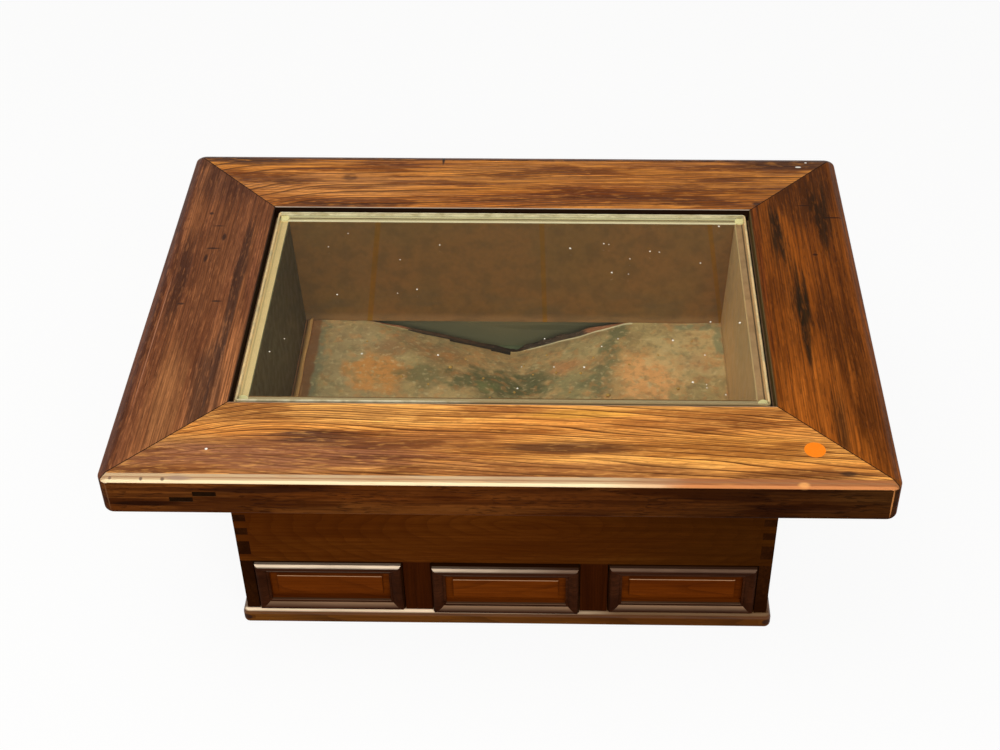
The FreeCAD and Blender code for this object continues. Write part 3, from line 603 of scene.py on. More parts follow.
        # Painted shade on the upright faces.
        if wood.upright_shade != (1.0, 1.0, 1.0):
            colour = self.shade_uprights(colour)
        colour = self.edge_light_and_wear(colour)
        for mark in wood.marks:
            colour = self.stained(colour, mark)
        if self.mitres:
            colour = self.seams(colour)
        relief = graph.math("SUBTRACT", graph.math("MULTIPLY", fibre, 0.5), darkness)
        upward = graph.span(graph.normal()[2], 0.05, 0.40, 0.05, 1.0)
        shader = graph.node("ShaderNodeBsdfPrincipled", {
            "Base Color": colour,
            "Roughness": graph.span(fibre, 0.2, 0.8, wood.roughness - 0.08, wood.roughness + 0.12),
            "Specular IOR Level": graph.math("MULTIPLY", upward, wood.gloss),
            "Normal": graph.bump(relief, wood.relief),
        })
        return graph.finish(shader.outputs[0])


# Finishes. Colours are linear.
# GOLDEN's cream edge colour is a painted highlight on the front arris, with some wear, fading to
# orange-brown towards the right.
GOLDEN = Wood(light=(1.40, 0.68, 0.160), middle=(1.05, 0.41, 0.078), dark=(0.24, 0.070, 0.012),
              line=(0.070, 0.018, 0.003), worn=(0.56, 0.39, 0.22), line_gap=0.0078, line_strength=1.0,
              heart=(-0.30, 0.245), wander=0.011, tilt=0.075, sweep=2.6, upright_shade=(0.112, 0.075, 0.058),
              edge_far=(0.053, 0.039, 0.034), edge_light_wear_far=(0.33, 0.118, 0.042), edge_light_wear_share=0.95, streak=0.5,
              fibre=0.45, grime=0.85, sparkle=0.4, dim=(0.32, 0.23, 0.17), pore_strength=0.5)
GOLDEN_BACK = Wood(light=(1.22, 0.48, 0.082), middle=(0.58, 0.172, 0.022), dark=(0.15, 0.040, 0.005),
                   line=(0.045, 0.012, 0.002), worn=(0.15, 0.048, 0.014), line_gap=0.0086, line_strength=0.9,
                   heart=(0.42, 0.245), wander=0.016, tilt=-0.03, sweep=1.2, upright_shade=(0.4, 0.35, 0.3),
                   edge_far=(0.4, 0.35, 0.3), edge_light_wear_share=0.8, lip=(0.60, 0.52, 0.42), streak=0.5, fibre=0.55,
                   grime=0.9, sparkle=0.5, dim=(0.25, 0.17, 0.09), pore_strength=0.45)
RED_LEFT = Wood(light=(0.62, 0.235, 0.082), middle=(0.29, 0.098, 0.038), dark=(0.085, 0.028, 0.012),
                line=(0.040, 0.013, 0.006), worn=(0.13, 0.040, 0.018), line_gap=0.0060, line_strength=0.55,
                heart=(-0.42, 0.30), wander=0.010, upright_shade=(0.5, 0.45, 0.4), edge_far=(0.5, 0.45, 0.4),
                edge_light_wear_share=0.7, band=0.6, streak=0.55, pore_strength=0.45, dim=(0.34, 0.28, 0.23),
                grime=0.65, sparkle=0.45, lip=(0.05, 0.02, 0.01), gloss=0.09)
RED_RIGHT = Wood(light=(0.40, 0.104, 0.009), middle=(0.180, 0.046, 0.004), dark=(0.048, 0.014, 0.0015),
                 line=(0.020, 0.006, 0.001), worn=(0.14, 0.045, 0.008), line_gap=0.0062, line_strength=0.5,
                 heart=(0.42, 0.30), wander=0.008, upright_shade=(0.5, 0.45, 0.4), edge_far=(0.5, 0.45, 0.4),
                 edge_light_wear_share=0.7, band=0.6, streak=0.55, pore_strength=0.5, dim=(0.36, 0.30, 0.15),
                 grime=0.6, sparkle=0.5, lip=(0.09, 0.040, 0.012), wall=(0.12, 0.085, 0.032), gloss=0.08)
BOX = Wood(light=(0.112, 0.030, 0.0034), middle=(0.085, 0.020, 0.0018), dark=(0.056, 0.012, 0.0010),
           line=(0.048, 0.010, 0.0008), worn=(0.20, 0.06, 0.01), line_gap=0.0070, line_strength=0.44,
           heart=(0.130, -0.157), dip=(0.34, 0.02), wander=0.022, curl=0.026, line_wide=0.6,
           upright_shade=(1.0, 1.0, 0.99), edge_far=(0.62, 0.72, 0.7), pore_strength=0.3, band=0.35, streak=0.5,
           fibre=0.45, gloss=0.06, dim=(0.6, 0.55, 0.4))
DARK_BOX = Wood(light=(0.036, 0.010, 0.0020), middle=(0.025, 0.0065, 0.0012), dark=(0.016, 0.004, 0.0007),
                line=(0.010, 0.003, 0.0005), worn=(0.10, 0.04, 0.012), line_gap=0.0060, line_strength=0.4,
                heart=(0.2, 0.1), wander=0.02, pore_strength=0.2, gloss=0.04)
# The box's wood made darker: painted shade on the stiles, recessed between the drawer mouldings.
STILE = Wood(light=(0.048, 0.0100, 0.0014), middle=(0.033, 0.0068, 0.0008), dark=(0.022, 0.0040, 0.0006),
             line=(0.014, 0.003, 0.0005), worn=(0.10, 0.04, 0.012), line_gap=0.0090, line_strength=0.35,
             heart=(0.2, 0.1), wander=0.02, pore_strength=0.15, band=0.2, gloss=0.04)
PLAIN_BOX = replace(BOX, dip=(0.0, 0.0), line_strength=0.3)
# PLINTH's edge colour, brighter than white, is a painted highlight on the rails' rounded top edges.
PLINTH = Wood(light=(0.180, 0.062, 0.0085), middle=(0.125, 0.039, 0.0042), dark=(0.072, 0.020, 0.002),
              line=(0.040, 0.011, 0.001), worn=(1.30, 1.02, 0.71), line_gap=0.0070, line_strength=0.5,
              heart=(0.02, -0.12), wander=0.012, curl=0.006, dip=(0.05, 0.0), pore_strength=0.3,
              edge_light_wear_share=1.0, edge_light_wear_low=0.60, edge_light_wear_soft=0.30, edge_light_wear_high=1.1,
              edge_light_wear_far=(0.24, 0.140, 0.068), edge_light_wear_fade=(-0.02, 0.12), roughness=0.34, gloss=0.3,
              dim=(0.5, 0.42, 0.3))
# MOULDING's edge colour, brighter than white, is a painted highlight on the top member's nose, duller on the
# low member's upward slope, with some wear.
MOULDING = Wood(light=(0.058, 0.017, 0.0060), middle=(0.036, 0.010, 0.0036), dark=(0.016, 0.0045, 0.0018),
                line=(0.010, 0.003, 0.001), worn=(1.35, 1.10, 0.82), line_gap=0.0050, line_strength=0.3,
                heart=(0.02, 0.03), wander=0.01, pore_strength=0.15, edge_light_wear_share=1.0, edge_light_wear_low=0.08,
                edge_light_wear_soft=0.80, edge_light_wear_high=1.1, edge_light_wear_above=0.068, edge_light_wear_far=(0.21, 0.125, 0.080),
                edge_light_wear_fade=(-0.17, 0.09), edge_light_wear_under=0.78, roughness=0.34, gloss=0.10, band=0.3, streak=0.4)
DRAWER = Wood(light=(0.185, 0.042, 0.0035), middle=(0.135, 0.028, 0.0020), dark=(0.085, 0.016, 0.001),
              line=(0.05, 0.009, 0.0006), worn=(0.50, 0.28, 0.15), line_gap=0.0065, line_strength=0.4,
              heart=(0.05, -0.12), dip=(0.08, 0.0), wander=0.012, pore_strength=0.2, edge_light_wear_share=0.9,
              edge_light_wear_low=0.30, gloss=0.1, upright_shade=(1.0, 1.0, 0.99), edge_far=(0.80, 0.74, 0.55),
              band=0.3, streak=0.3, dim=(0.55, 0.5, 0.35))
INNER = Wood(light=(0.34, 0.215, 0.115), middle=(0.24, 0.145, 0.075), dark=(0.16, 0.090, 0.045),
             line=(0.09, 0.05, 0.025), worn=(0.40, 0.27, 0.16), line_gap=0.0055, line_strength=0.45,
             heart=(0.10, 0.06), wander=0.03, pore_strength=0.3, edge_light_wear_share=0.2, roughness=0.62, gloss=0.1)
# This wood is ash grey made paler, so that the dust board seen in the dark tear looks lit: ash and painted
# light.
ASH_AND_PAINTED_LIGHT = Wood(light=(0.36, 0.42, 0.23), middle=(0.27, 0.32, 0.18), dark=(0.17, 0.20, 0.12),
             line=(0.10, 0.11, 0.07), worn=(0.08, 0.07, 0.05), line_gap=0.0060, line_strength=0.4,
             heart=(0.10, 0.06), wander=0.03, pore_strength=0.3, edge_light_wear_share=0.1, roughness=0.7, gloss=0.05)
KEY = Wood(light=(0.022, 0.009, 0.003), middle=(0.015, 0.006, 0.002), dark=(0.008, 0.003, 0.001),
           line=(0.005, 0.002, 0.001), worn=(0.05, 0.02, 0.01), line_gap=0.0020, line_strength=0.3,
           heart=(0.0, 0.0), wander=0.002, pore_strength=0.3, edge_light_wear_share=0.1, roughness=0.5, gloss=0.05)

FRONT_STAINS = (
    Stain((-0.190, -0.212, 0.277), (0.150, 0.022, 0.03), (0.33, 0.125, 0.066), 0.92, 0.5),
    Stain((-0.155, -0.190, 0.277), (0.034, 0.009, 0.03), (0.12, 0.052, 0.034), 0.9, 1.4),
    Stain((-0.160, -0.158, 0.277), (0.095, 0.012, 0.03), (1.10, 0.54, 0.135), 0.85),
    Stain((-0.060, -0.190, 0.277), (0.070, 0.010, 0.03), (0.42, 0.150, 0.045), 0.7),
    Stain((0.065, -0.157, 0.277), (0.045, 0.006, 0.03), (1.10, 0.54, 0.080), 0.85),
    Stain((0.005, -0.152, 0.277), (0.040, 0.005, 0.03), (0.60, 0.185, 0.040), 0.7),
    Stain((0.060, -0.200, 0.277), (0.055, 0.006, 0.03), (0.19, 0.078, 0.040), 0.8, 1.7),
    Stain((0.040, -0.226, 0.277), (0.140, 0.011, 0.03), (0.42, 0.150, 0.046), 0.8, 0.6),
    Stain((0.170, -0.170, 0.277), (0.060, 0.012, 0.03), (0.50, 0.170, 0.035), 0.6),
    Stain((0.210, -0.200, 0.277), (0.080, 0.018, 0.03), (1.15, 0.50, 0.090), 0.8),
    Stain((0.265, -0.229, 0.277), (0.055, 0.008, 0.03), (0.24, 0.082, 0.022), 0.8),
    Stain((-0.300, -0.225, 0.277), (0.030, 0.012, 0.03), (0.26, 0.095, 0.045), 0.7),
    Stain((-0.200, -0.241, 0.266), (0.055, 0.01, 0.004), (0.30, 0.130, 0.060), 0.8),
    Stain((-0.298, -0.241, 0.248), (0.030, 0.01, 0.003), (0.22, 0.105, 0.060), 0.85),
    Stain((0.252, -0.241, 0.247), (0.050, 0.01, 0.003), (1.00, 0.40, 0.150), 0.6),
)
FRONT_MARKS = (
    Stain((0.291, -0.227, 0.277), (0.0060, 0.0032, 0.01), (0.045, 0.020, 0.010), 0.8),
    Stain((-0.248, -0.2045, 0.277), (0.0012, 0.0012, 0.01), (0.90, 0.88, 0.80), 1.0, 0.1, 0.3),
    Stain((-0.323, -0.2380, 0.275), (0.0013, 0.0013, 0.004), (0.16, 0.09, 0.06), 0.8, 0.3),
    Stain((-0.297, -0.2385, 0.275), (0.0014, 0.0014, 0.004), (0.12, 0.07, 0.05), 0.85, 0.3),
    Stain((-0.279, -0.2385, 0.275), (0.0017, 0.0014, 0.004), (0.11, 0.06, 0.04), 0.85, 0.3),
    Stain((-0.266, -0.2375, 0.275), (0.0110, 0.0022, 0.004), (0.34, 0.22, 0.15), 0.9, 1.3),
    Stain((0.253, -0.2385, 0.275), (0.0050, 0.0022, 0.004), (0.80, 0.36, 0.11), 0.85, 0.6),
    # The orange upright line at the right end of the front face is a painted highlight on the corner arris.
    Stain((0.3275, -0.2405, 0.257), (0.0007, 0.0040, 0.017), (0.50, 0.20, 0.06), 0.85, 0.1, 0.5),
    Stain((-0.3275, -0.2405, 0.257), (0.0006, 0.0040, 0.017), (0.16, 0.07, 0.03), 0.7, 0.1, 0.5),
)
BACK_STAINS = (
    Stain((-0.190, 0.185, 0.277), (0.110, 0.026, 0.03), (0.98, 0.42, 0.120), 0.7),
    Stain((-0.020, 0.205, 0.277), (0.110, 0.014, 0.03), (0.92, 0.38, 0.080), 0.6),
    Stain((0.080, 0.160, 0.277), (0.140, 0.008, 0.03), (0.24, 0.074, 0.014), 0.6),
    Stain((0.200, 0.190, 0.277), (0.100, 0.030, 0.03), (0.42, 0.130, 0.020), 0.5),
    Stain((-0.180, 0.150, 0.277), (0.050, 0.003, 0.03), (0.10, 0.034, 0.010), 0.8, 1.5),
    Stain((-0.169, 0.198, 0.277), (0.006, 0.005, 0.03), (0.22, 0.080, 0.026), 0.8, 1.2),
    Stain((-0.235, 0.192, 0.277), (0.020, 0.005, 0.03), (0.24, 0.088, 0.030), 0.6, 1.7),
    # The long dark band along the back edge is painted shade on the back board's outer rounding.
    Stain((0.0, 0.2370, 0.277), (0.600, 0.0062, 0.04), (0.105, 0.036, 0.012), 0.95, 0.12, 0.2),
    Stain((-0.275, 0.232, 0.277), (0.060, 0.0100, 0.04), (0.110, 0.040, 0.020), 0.9, 0.5),
    Stain((0.290, 0.228, 0.277), (0.060, 0.0110, 0.04), (0.085, 0.028, 0.008), 0.9, 0.5),
)
BACK_MARKS = (
    Stain((0.2476, 0.1562, 0.277), (0.0045, 0.0030, 0.01), (0.05, 0.018, 0.010), 0.9, 0.5),
    Stain((0.2960, 0.2226, 0.277), (0.0030, 0.0012, 0.01), (0.92, 0.89, 0.80), 1.0, 0.1, 0.3),
    Stain((0.3046, 0.2307, 0.277), (0.0012, 0.0010, 0.01), (0.80, 0.74, 0.66), 1.0, 0.1, 0.3),
    Stain((-0.0740, 0.2320, 0.277), (0.0014, 0.0080, 0.01), (0.02, 0.010, 0.006), 0.95, 0.2),
)
LEFT_STAINS = (
    Stain((-0.285, 0.050, 0.277), (0.016, 0.110, 0.03), (0.40, 0.150, 0.055), 0.45),
    Stain((-0.295, -0.140, 0.277), (0.013, 0.065, 0.03), (0.66, 0.28, 0.100), 0.7),
    Stain((-0.259, 0.000, 0.277), (0.0055, 0.110, 0.03), (0.048, 0.026, 0.020), 0.8, 1.6),
    Stain((-0.262, -0.130, 0.277), (0.014, 0.060, 0.03), (0.065, 0.033, 0.024), 0.75),
    Stain((-0.313, 0.030, 0.277), (0.008, 0.065, 0.03), (0.070, 0.027, 0.017), 0.75),
    Stain((-0.290, 0.190, 0.277), (0.040, 0.035, 0.03), (0.115, 0.042, 0.024), 0.7),
    Stain((-0.300, 0.225, 0.277), (0.040, 0.012, 0.03), (0.085, 0.031, 0.018), 0.75),
    Stain((-0.246, 0.080, 0.277), (0.0050, 0.110, 0.03), (0.19, 0.060, 0.026), 0.7),
    Stain((-0.330, 0.000, 0.277), (0.006, 0.300, 0.03), (0.120, 0.040, 0.022), 0.8, 0.2, 0.3),
)
LEFT_MARKS = (
    Stain((-0.3014, 0.1337, 0.277), (0.0022, 0.0022, 0.01), (0.03, 0.014, 0.010), 0.85, 0.4),
    Stain((-0.2903, 0.1127, 0.277), (0.0050, 0.0010, 0.01), (0.03, 0.014, 0.010), 0.8, 0.4),
    Stain((-0.2822, 0.0941, 0.277), (0.0018, 0.0050, 0.01), (0.03, 0.014, 0.010), 0.85, 0.4),
    Stain((-0.2901, 0.0757, 0.277), (0.0060, 0.0013, 0.01), (0.03, 0.014, 0.010), 0.85, 0.4),
    Stain((-0.2947, 0.0598, 0.277), (0.0015, 0.0060, 0.01), (0.03, 0.014, 0.010), 0.85, 0.4),
    Stain((-0.2731, -0.0062, 0.277), (0.0050, 0.0012, 0.01), (0.03, 0.014, 0.010), 0.85, 0.4),
    Stain((-0.3058, -0.0104, 0.277), (0.0030, 0.0016, 0.01), (0.03, 0.014, 0.010), 0.8, 0.4),
    Stain((-0.3215, -0.0600, 0.277), (0.0005, 0.0900, 0.01), (0.46, 0.20, 0.11), 0.6, 0.1, 0.4),
)
RIGHT_STAINS = (
    Stain((0.275, -0.150, 0.277), (0.030, 0.085, 0.03), (0.60, 0.160, 0.016), 0.8),
    Stain((0.295, 0.180, 0.277), (0.045, 0.060, 0.03), (0.095, 0.028, 0.005), 0.7),
    Stain((0.328, -0.050, 0.277), (0.006, 0.260, 0.03), (0.30, 0.080, 0.010), 0.7),
    Stain((0.243, 0.050, 0.277), (0.003, 0.110, 0.03), (0.30, 0.070, 0.012), 0.7),
    Stain((0.262, 0.110, 0.277), (0.0060, 0.046, 0.03), (0.020, 0.014, 0.004), 0.9, 1.4),
    Stain((0.275, -0.010, 0.277), (0.0070, 0.056, 0.03), (0.016, 0.014, 0.005), 0.95, 1.4),
    Stain((0.292, -0.170, 0.277), (0.0050, 0.045, 0.03), (0.050, 0.022, 0.006), 0.7),
    Stain((0.310, 0.130, 0.277), (0.009, 0.046, 0.03), (0.030, 0.014, 0.003), 0.85, 1.4),
)
RIGHT_MARKS = (
    Stain((0.3215, 0.1335, 0.277), (0.0090, 0.0009, 0.01), (0.008, 0.004, 0.003), 0.97, 0.1, 0.4),
    Stain((0.2940, 0.1540, 0.277), (0.0060, 0.0007, 0.01), (0.010, 0.005, 0.003), 0.8, 0.2),
    Stain((0.2969, 0.0726, 0.277), (0.0026, 0.0016, 0.01), (0.015, 0.006, 0.003), 0.85, 0.4),
)
PLINTH_MARKS = (
    Stain((-0.2515, -0.162, 0.0085), (0.0042, 0.006, 0.0034), (0.030, 0.012, 0.007), 0.85, 0.1, 0.3),
    Stain((0.2515, -0.162, 0.0085), (0.0042, 0.006, 0.0034), (0.030, 0.012, 0.007), 0.85, 0.1, 0.3),
)
# Ash grey on the inside of the back board, seen through the tear in the liner, made paler than ash: ash and
# painted light.
ASH_AND_PAINTED_LIGHT_MARKS = (
    Stain((-0.01, 0.145, 0.120), (0.19, 0.006, 0.08), (0.270, 0.240, 0.135), 1.0, 0.2, 0.3),
    Stain((-0.03, 0.145, 0.128), (0.09, 0.006, 0.004), (0.330, 0.310, 0.180), 0.7, 1.6),
    Stain((0.04, 0.145, 0.118), (0.08, 0.006, 0.003), (0.200, 0.180, 0.100), 0.8, 1.6),
)


def marked(wood: Wood, stains: tuple[Stain, ...], marks: tuple[Stain, ...]) -> Wood:
    """A copy of a finish with stains and marks of its own."""
    return replace(wood, stains=stains, marks=marks)


def dress(node: str, material: bpy.types.Material) -> None:
    """Give a CAD node one material.

    Args:
        node: the node's name.
        material: its new finish.
    """
    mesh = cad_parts[node].data
    mesh.materials.clear()
    mesh.materials.append(material)
    log.info("dressed %s with %s", node, material.name)


def dress_wood(node: str, wood: Wood, grain: Grain, seed: float, mitres: Mitres | None = None) -> None:
    """Give a CAD node a wood finish of its own, so that no two boards match."""
    dress(node, WoodShader(f"{node}_wood", wood, grain, seed, mitres).build())


class Piece:
    """A mesh piece of the scene, built in place in the row frame."""

    def __init__(self, name: str) -> None:
        """Start an empty piece.

        Args:
            name: the piece's name.
        """
        self.mesh = bpy.data.meshes.new(name)
        self.object = bpy.data.objects.new(name, self.mesh)
        bpy.context.scene.collection.objects.link(self.object)

    def fill(self, built: bmesh.types.BMesh, smooth: bool = True) -> None:
        """Take the finished mesh.

        Args:
            built: the mesh, which is freed.
            smooth: whether its faces are shaded smooth.
        """
        bmesh.ops.recalc_face_normals(built, faces=built.faces)
        for face in built.faces:
            face.smooth = smooth
        built.to_mesh(self.mesh)
        built.free()

    def wear(self, materials: tuple[bpy.types.Material, ...], slot: str, body: str) -> bpy.types.Object:
        """Take its materials and a place on a body.

        Args:
            materials: the piece's materials, in the order of its faces' numbers.
            slot: not used.
            body: the body it rides on.

        Returns:
            The piece's object.
        """
        for material in materials:
            self.mesh.materials.append(material)
        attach(self.object, body)
        log.info("made %s on %s", self.object.name, body)
        return self.object


@dataclass(frozen=True)
class Specks:
    """Small lumps scattered on a surface. Lengths are in metres."""

    name: str
    places: tuple[Plan, ...]
    size: float
    spread: float
    step: Place
    knobs: float
    fineness: float
    flatness: float
    lift: float
    smallest: float = 0.6

    def build(self, height: Callable[[float, float], float]) -> Piece:
        """Scatter the lumps.

        Args:
            height: gives the surface's height at a place.

        Returns:
            The piece, without its materials yet.
        """
        built = bmesh.new()
        for index, (x, y) in enumerate(self.places):
            uneven = abs(noise.noise(Vector((index * self.step[0], *self.step[1:]))))
            size = self.size * (self.smallest + self.spread * uneven)
            for vertex in bmesh.ops.create_icosphere(built, subdivisions=2, radius=size)["verts"]:
                vertex.co *= 1 + self.knobs * noise.noise(vertex.co * self.fineness + Vector((index, 0, 0)))
                vertex.co.z *= self.flatness
                vertex.co += Vector((x, y, height(x, y) + size * self.lift))
        piece = Piece(self.name)
        piece.fill(built)
        return piece


CRUMBS = Specks(
    name="liner_crumbs", size=0.0017, spread=1.0, step=(3.7, 1.0, 0.0), knobs=0.6, fineness=900,
    flatness=0.6, lift=0.45,
    places=((0.012, 0.086), (0.022, 0.066), (-0.028, 0.046), (0.036, 0.098), (0.046, 0.060),
            (-0.062, 0.055), (0.004, 0.030), (0.060, 0.020), (-0.110, 0.035), (0.071, 0.050),
            (0.186, 0.095), (0.150, 0.070), (0.098, 0.010), (-0.020, 0.010), (-0.082, 0.022),
            (0.168, 0.020), (-0.150, 0.090), (0.120, 0.055), (-0.048, 0.080), (0.084, 0.074)))
DUST = Specks(
    name="glass_dust", size=0.00085, spread=1.2, step=(5.3, 2.0, 0.4), knobs=0.5, fineness=2500,
    flatness=0.5, lift=0.4,
    places=((-0.161, 0.104), (-0.069, 0.086), (-0.161, 0.007), (-0.104, 0.010), (-0.202, -0.058),
            (-0.213, -0.076), (-0.129, -0.078), (-0.060, -0.079), (-0.106, 0.062), (-0.178, 0.082),
            (-0.086, 0.016), (0.117, 0.066), (0.115, 0.042), (0.099, 0.044), (0.146, 0.077),
            (0.137, 0.078), (0.185, 0.060), (0.207, 0.120), (0.103, -0.054), (0.036, -0.055),
            (0.153, -0.056), (0.072, -0.094), (0.045, -0.094), (0.013, -0.123), (0.180, -0.116),
            (0.180, -0.120), (0.168, -0.113), (0.181, -0.076), (0.189, -0.029), (0.216, -0.030),
            (0.196, -0.129), (0.092, 0.090), (0.097, 0.089), (0.059, 0.082), (0.016, -0.094),
            (0.088, -0.065)))


class Top:
    """The four mitred boards, their tongues and the keys in the front edge."""

    def __init__(self) -> None:
        """Read the top's plan from the frame."""
        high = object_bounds()[1]
        self.mitres = Mitres(half_x=high[0], half_y=high[1], open_x=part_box("rim_right")[0][0],
                             open_y=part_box("rim_back")[0][1])

    def build(self) -> None:
        """Dress every piece of the top."""
        boards = (("rim_front", marked(GOLDEN, FRONT_STAINS, FRONT_MARKS), Grain.TOP_LONG, 0.37),
                  ("rim_back", marked(GOLDEN_BACK, BACK_STAINS, BACK_MARKS), Grain.TOP_LONG, 1.21),
                  ("rim_left", marked(RED_LEFT, LEFT_STAINS, LEFT_MARKS), Grain.TOP_SHORT, 2.13),
                  ("rim_right", marked(RED_RIGHT, RIGHT_STAINS, RIGHT_MARKS), Grain.TOP_SHORT, 3.41))
        for node, wood, grain, seed in boards:
            dress_wood(node, wood, grain, seed, self.mitres)
        dress_wood("mitre_tongues", INNER, Grain.TOP_LONG, 0.9)
        dress_wood("draw_keys", KEY, Grain.TOP_SHORT, 0.4)


class Box:
    """The finger-jointed box with its posts, battens and inner boards."""

    def build(self) -> None:
        """Dress every piece of the box."""
        dress_wood("box_front_board", BOX, Grain.FACE_LONG, 0.55)
        dress_wood("box_back_board", marked(PLAIN_BOX, (), ASH_AND_PAINTED_LIGHT_MARKS), Grain.FACE_LONG, 1.75)
        dress_wood("box_left_side", DARK_BOX, Grain.FACE_SHORT, 2.35)
        dress_wood("box_right_side", DARK_BOX, Grain.FACE_SHORT, 3.15)
        for seed, side in enumerate(("left", "right"), start=1):
            dress_wood(f"drawer_stile_{side}", STILE, Grain.UPRIGHT, seed * 0.83)
            dress_wood(f"partition_{side}", INNER, Grain.FACE_SHORT, seed * 0.61)
        for seed, side in enumerate(("front", "back", "left", "right"), start=1):
            grain = Grain.FACE_LONG if side in ("front", "back") else Grain.FACE_SHORT
            dress_wood(f"bearer_{side}", INNER, grain, seed * 0.47)
        dress_wood("bearer_pegs", INNER, Grain.TOP_SHORT, 0.2)
        dress_wood("drawer_guides", INNER, Grain.FACE_SHORT, 0.3)
        dress_wood("dust_board", ASH_AND_PAINTED_LIGHT, Grain.TOP_LONG, 0.7)
        dress_wood("base_board", INNER, Grain.TOP_LONG, 0.8)


class Plinth:
    """The four rounded rails under the box."""

    def build(self) -> None:
        """Dress the rails."""
        for seed, side in enumerate(("front", "back", "left", "right"), start=1):
            grain = Grain.FACE_LONG if side in ("front", "back") else Grain.FACE_SHORT
            dress_wood(f"plinth_{side}", marked(PLINTH, (), PLINTH_MARKS), grain, seed * 0.71)


class Drawer:
    """One drawer: its front with a planted moulding, and the box behind."""

    def __init__(self, name: str, seed: float) -> None:
        """Name the drawer.

        Args:
            name: left, middle or right.
            seed: moves its grain.
        """
        self.name = name
        self.seed = seed

    def shaded_ends(self) -> tuple[Stain, ...]:
        """Paint shade on the front panel's hidden edges round the moulding, where the gap to the box is
        dark.

        Returns:
            A band of painted shade along the top edge and one at each end.
        """
        low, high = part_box(f"drawer_front_{self.name}")
        middle = tuple((first + last) / 2 for first, last in zip(low, high))
        reach = tuple((last - first) / 2 for first, last in zip(low, high))
        look = {"colour": (0.016, 0.005, 0.001), "strength": 0.95, "fray": 0.1, "soft": 0.3}
        edge = 0.0020
        top = Stain((middle[0], middle[1], high[2]), (reach[0] * 2, reach[1] * 4, edge), **look)
        ends = (Stain((x, middle[1], middle[2]), (edge, reach[1] * 4, reach[2] * 2), **look)
                for x in (low[0], high[0]))
        return (top, *ends)

    def build(self) -> None:
        """Dress the drawer."""
        front = marked(DRAWER, (), self.shaded_ends())
        dress_wood(f"drawer_front_{self.name}", front, Grain.FACE_LONG, self.seed)
        dress_wood(f"drawer_moulding_{self.name}", MOULDING, Grain.FACE_LONG, self.seed + 0.4)
        for part in ("left_side", "right_side"):
            dress_wood(f"drawer_{part}_{self.name}", INNER, Grain.FACE_SHORT, self.seed + 0.9)
        dress_wood(f"drawer_back_{self.name}", INNER, Grain.FACE_LONG, self.seed + 1.3)
        dress_wood(f"drawer_bottom_{self.name}", INNER, Grain.TOP_SHORT, self.seed + 1.7)


@dataclass(frozen=True)
class Copper:
    """The look of the aged copper. Lengths are in metres, colours linear."""

    base: Colour
    green: Colour
    orange: Colour
    grime: Colour
    green_share: float
    orange_share: float
    cloud: float = 0.5
    metallic: float = 0.35
    roughness: float = 0.55


WALL_COPPER = Copper(base=(0.305, 0.152, 0.0471), green=(0.246, 0.15, 0.0481), orange=(0.342, 0.155, 0.0428),
                     grime=(0.187, 0.105, 0.0364), green_share=0.4, orange_share=0.3)
# The right and left walls are lit and shaded copies of one copper: painted light on the right, painted shade
# on the left.
LIT_WALL_COPPER = Copper(base=(0.748, 0.484, 0.231), green=(0.594, 0.451, 0.231), orange=(0.77, 0.473, 0.22),
                      grime=(0.528, 0.363, 0.187), green_share=0.4, orange_share=0.2, cloud=0.3)
SHADED_WALL_COPPER = Copper(base=(0.13, 0.106, 0.0497), green=(0.119, 0.102, 0.0518), orange=(0.132, 0.0994, 0.041),
                     grime=(0.112, 0.0929, 0.0454), green_share=0.3, orange_share=0.2, cloud=0.25)
FLOOR_COPPER = Copper(base=(0.763, 0.509, 0.233), green=(0.509, 0.424, 0.196), orange=(0.827, 0.413, 0.133),
                      grime=(0.424, 0.286, 0.133), green_share=0.6, orange_share=0.4, roughness=0.6)
# Painted shade along the crease beside the torn edge's left limb.
CREASE_SHADE_COPPER = Copper(base=(0.060, 0.038, 0.018), green=(0.055, 0.045, 0.024), orange=(0.09, 0.045, 0.018),
                       grime=(0.035, 0.022, 0.012), green_share=0.4, orange_share=0.3)
# A painted highlight on the lit crest of the torn edge's right limb.
EDGE_HIGHLIGHT_COPPER = Copper(base=(0.80, 0.66, 0.40), green=(0.66, 0.62, 0.40), orange=(0.80, 0.56, 0.28),
                     grime=(0.60, 0.50, 0.30), green_share=0.3, orange_share=0.3, metallic=0.1)
# The torn edge's dark colour is painted shade; its orange patches are the copper's own.
TORN_EDGE_SHADE_COPPER = Copper(base=(0.075, 0.040, 0.018), green=(0.060, 0.050, 0.026), orange=(0.30, 0.105, 0.035),
                     grime=(0.040, 0.024, 0.013), green_share=0.5, orange_share=0.2)
FLANGE_COPPER = Copper(base=(0.66, 0.46, 0.23), green=(0.56, 0.46, 0.24), orange=(0.62, 0.38, 0.16),
                       grime=(0.38, 0.25, 0.11), green_share=0.35, orange_share=0.35, metallic=0.1)


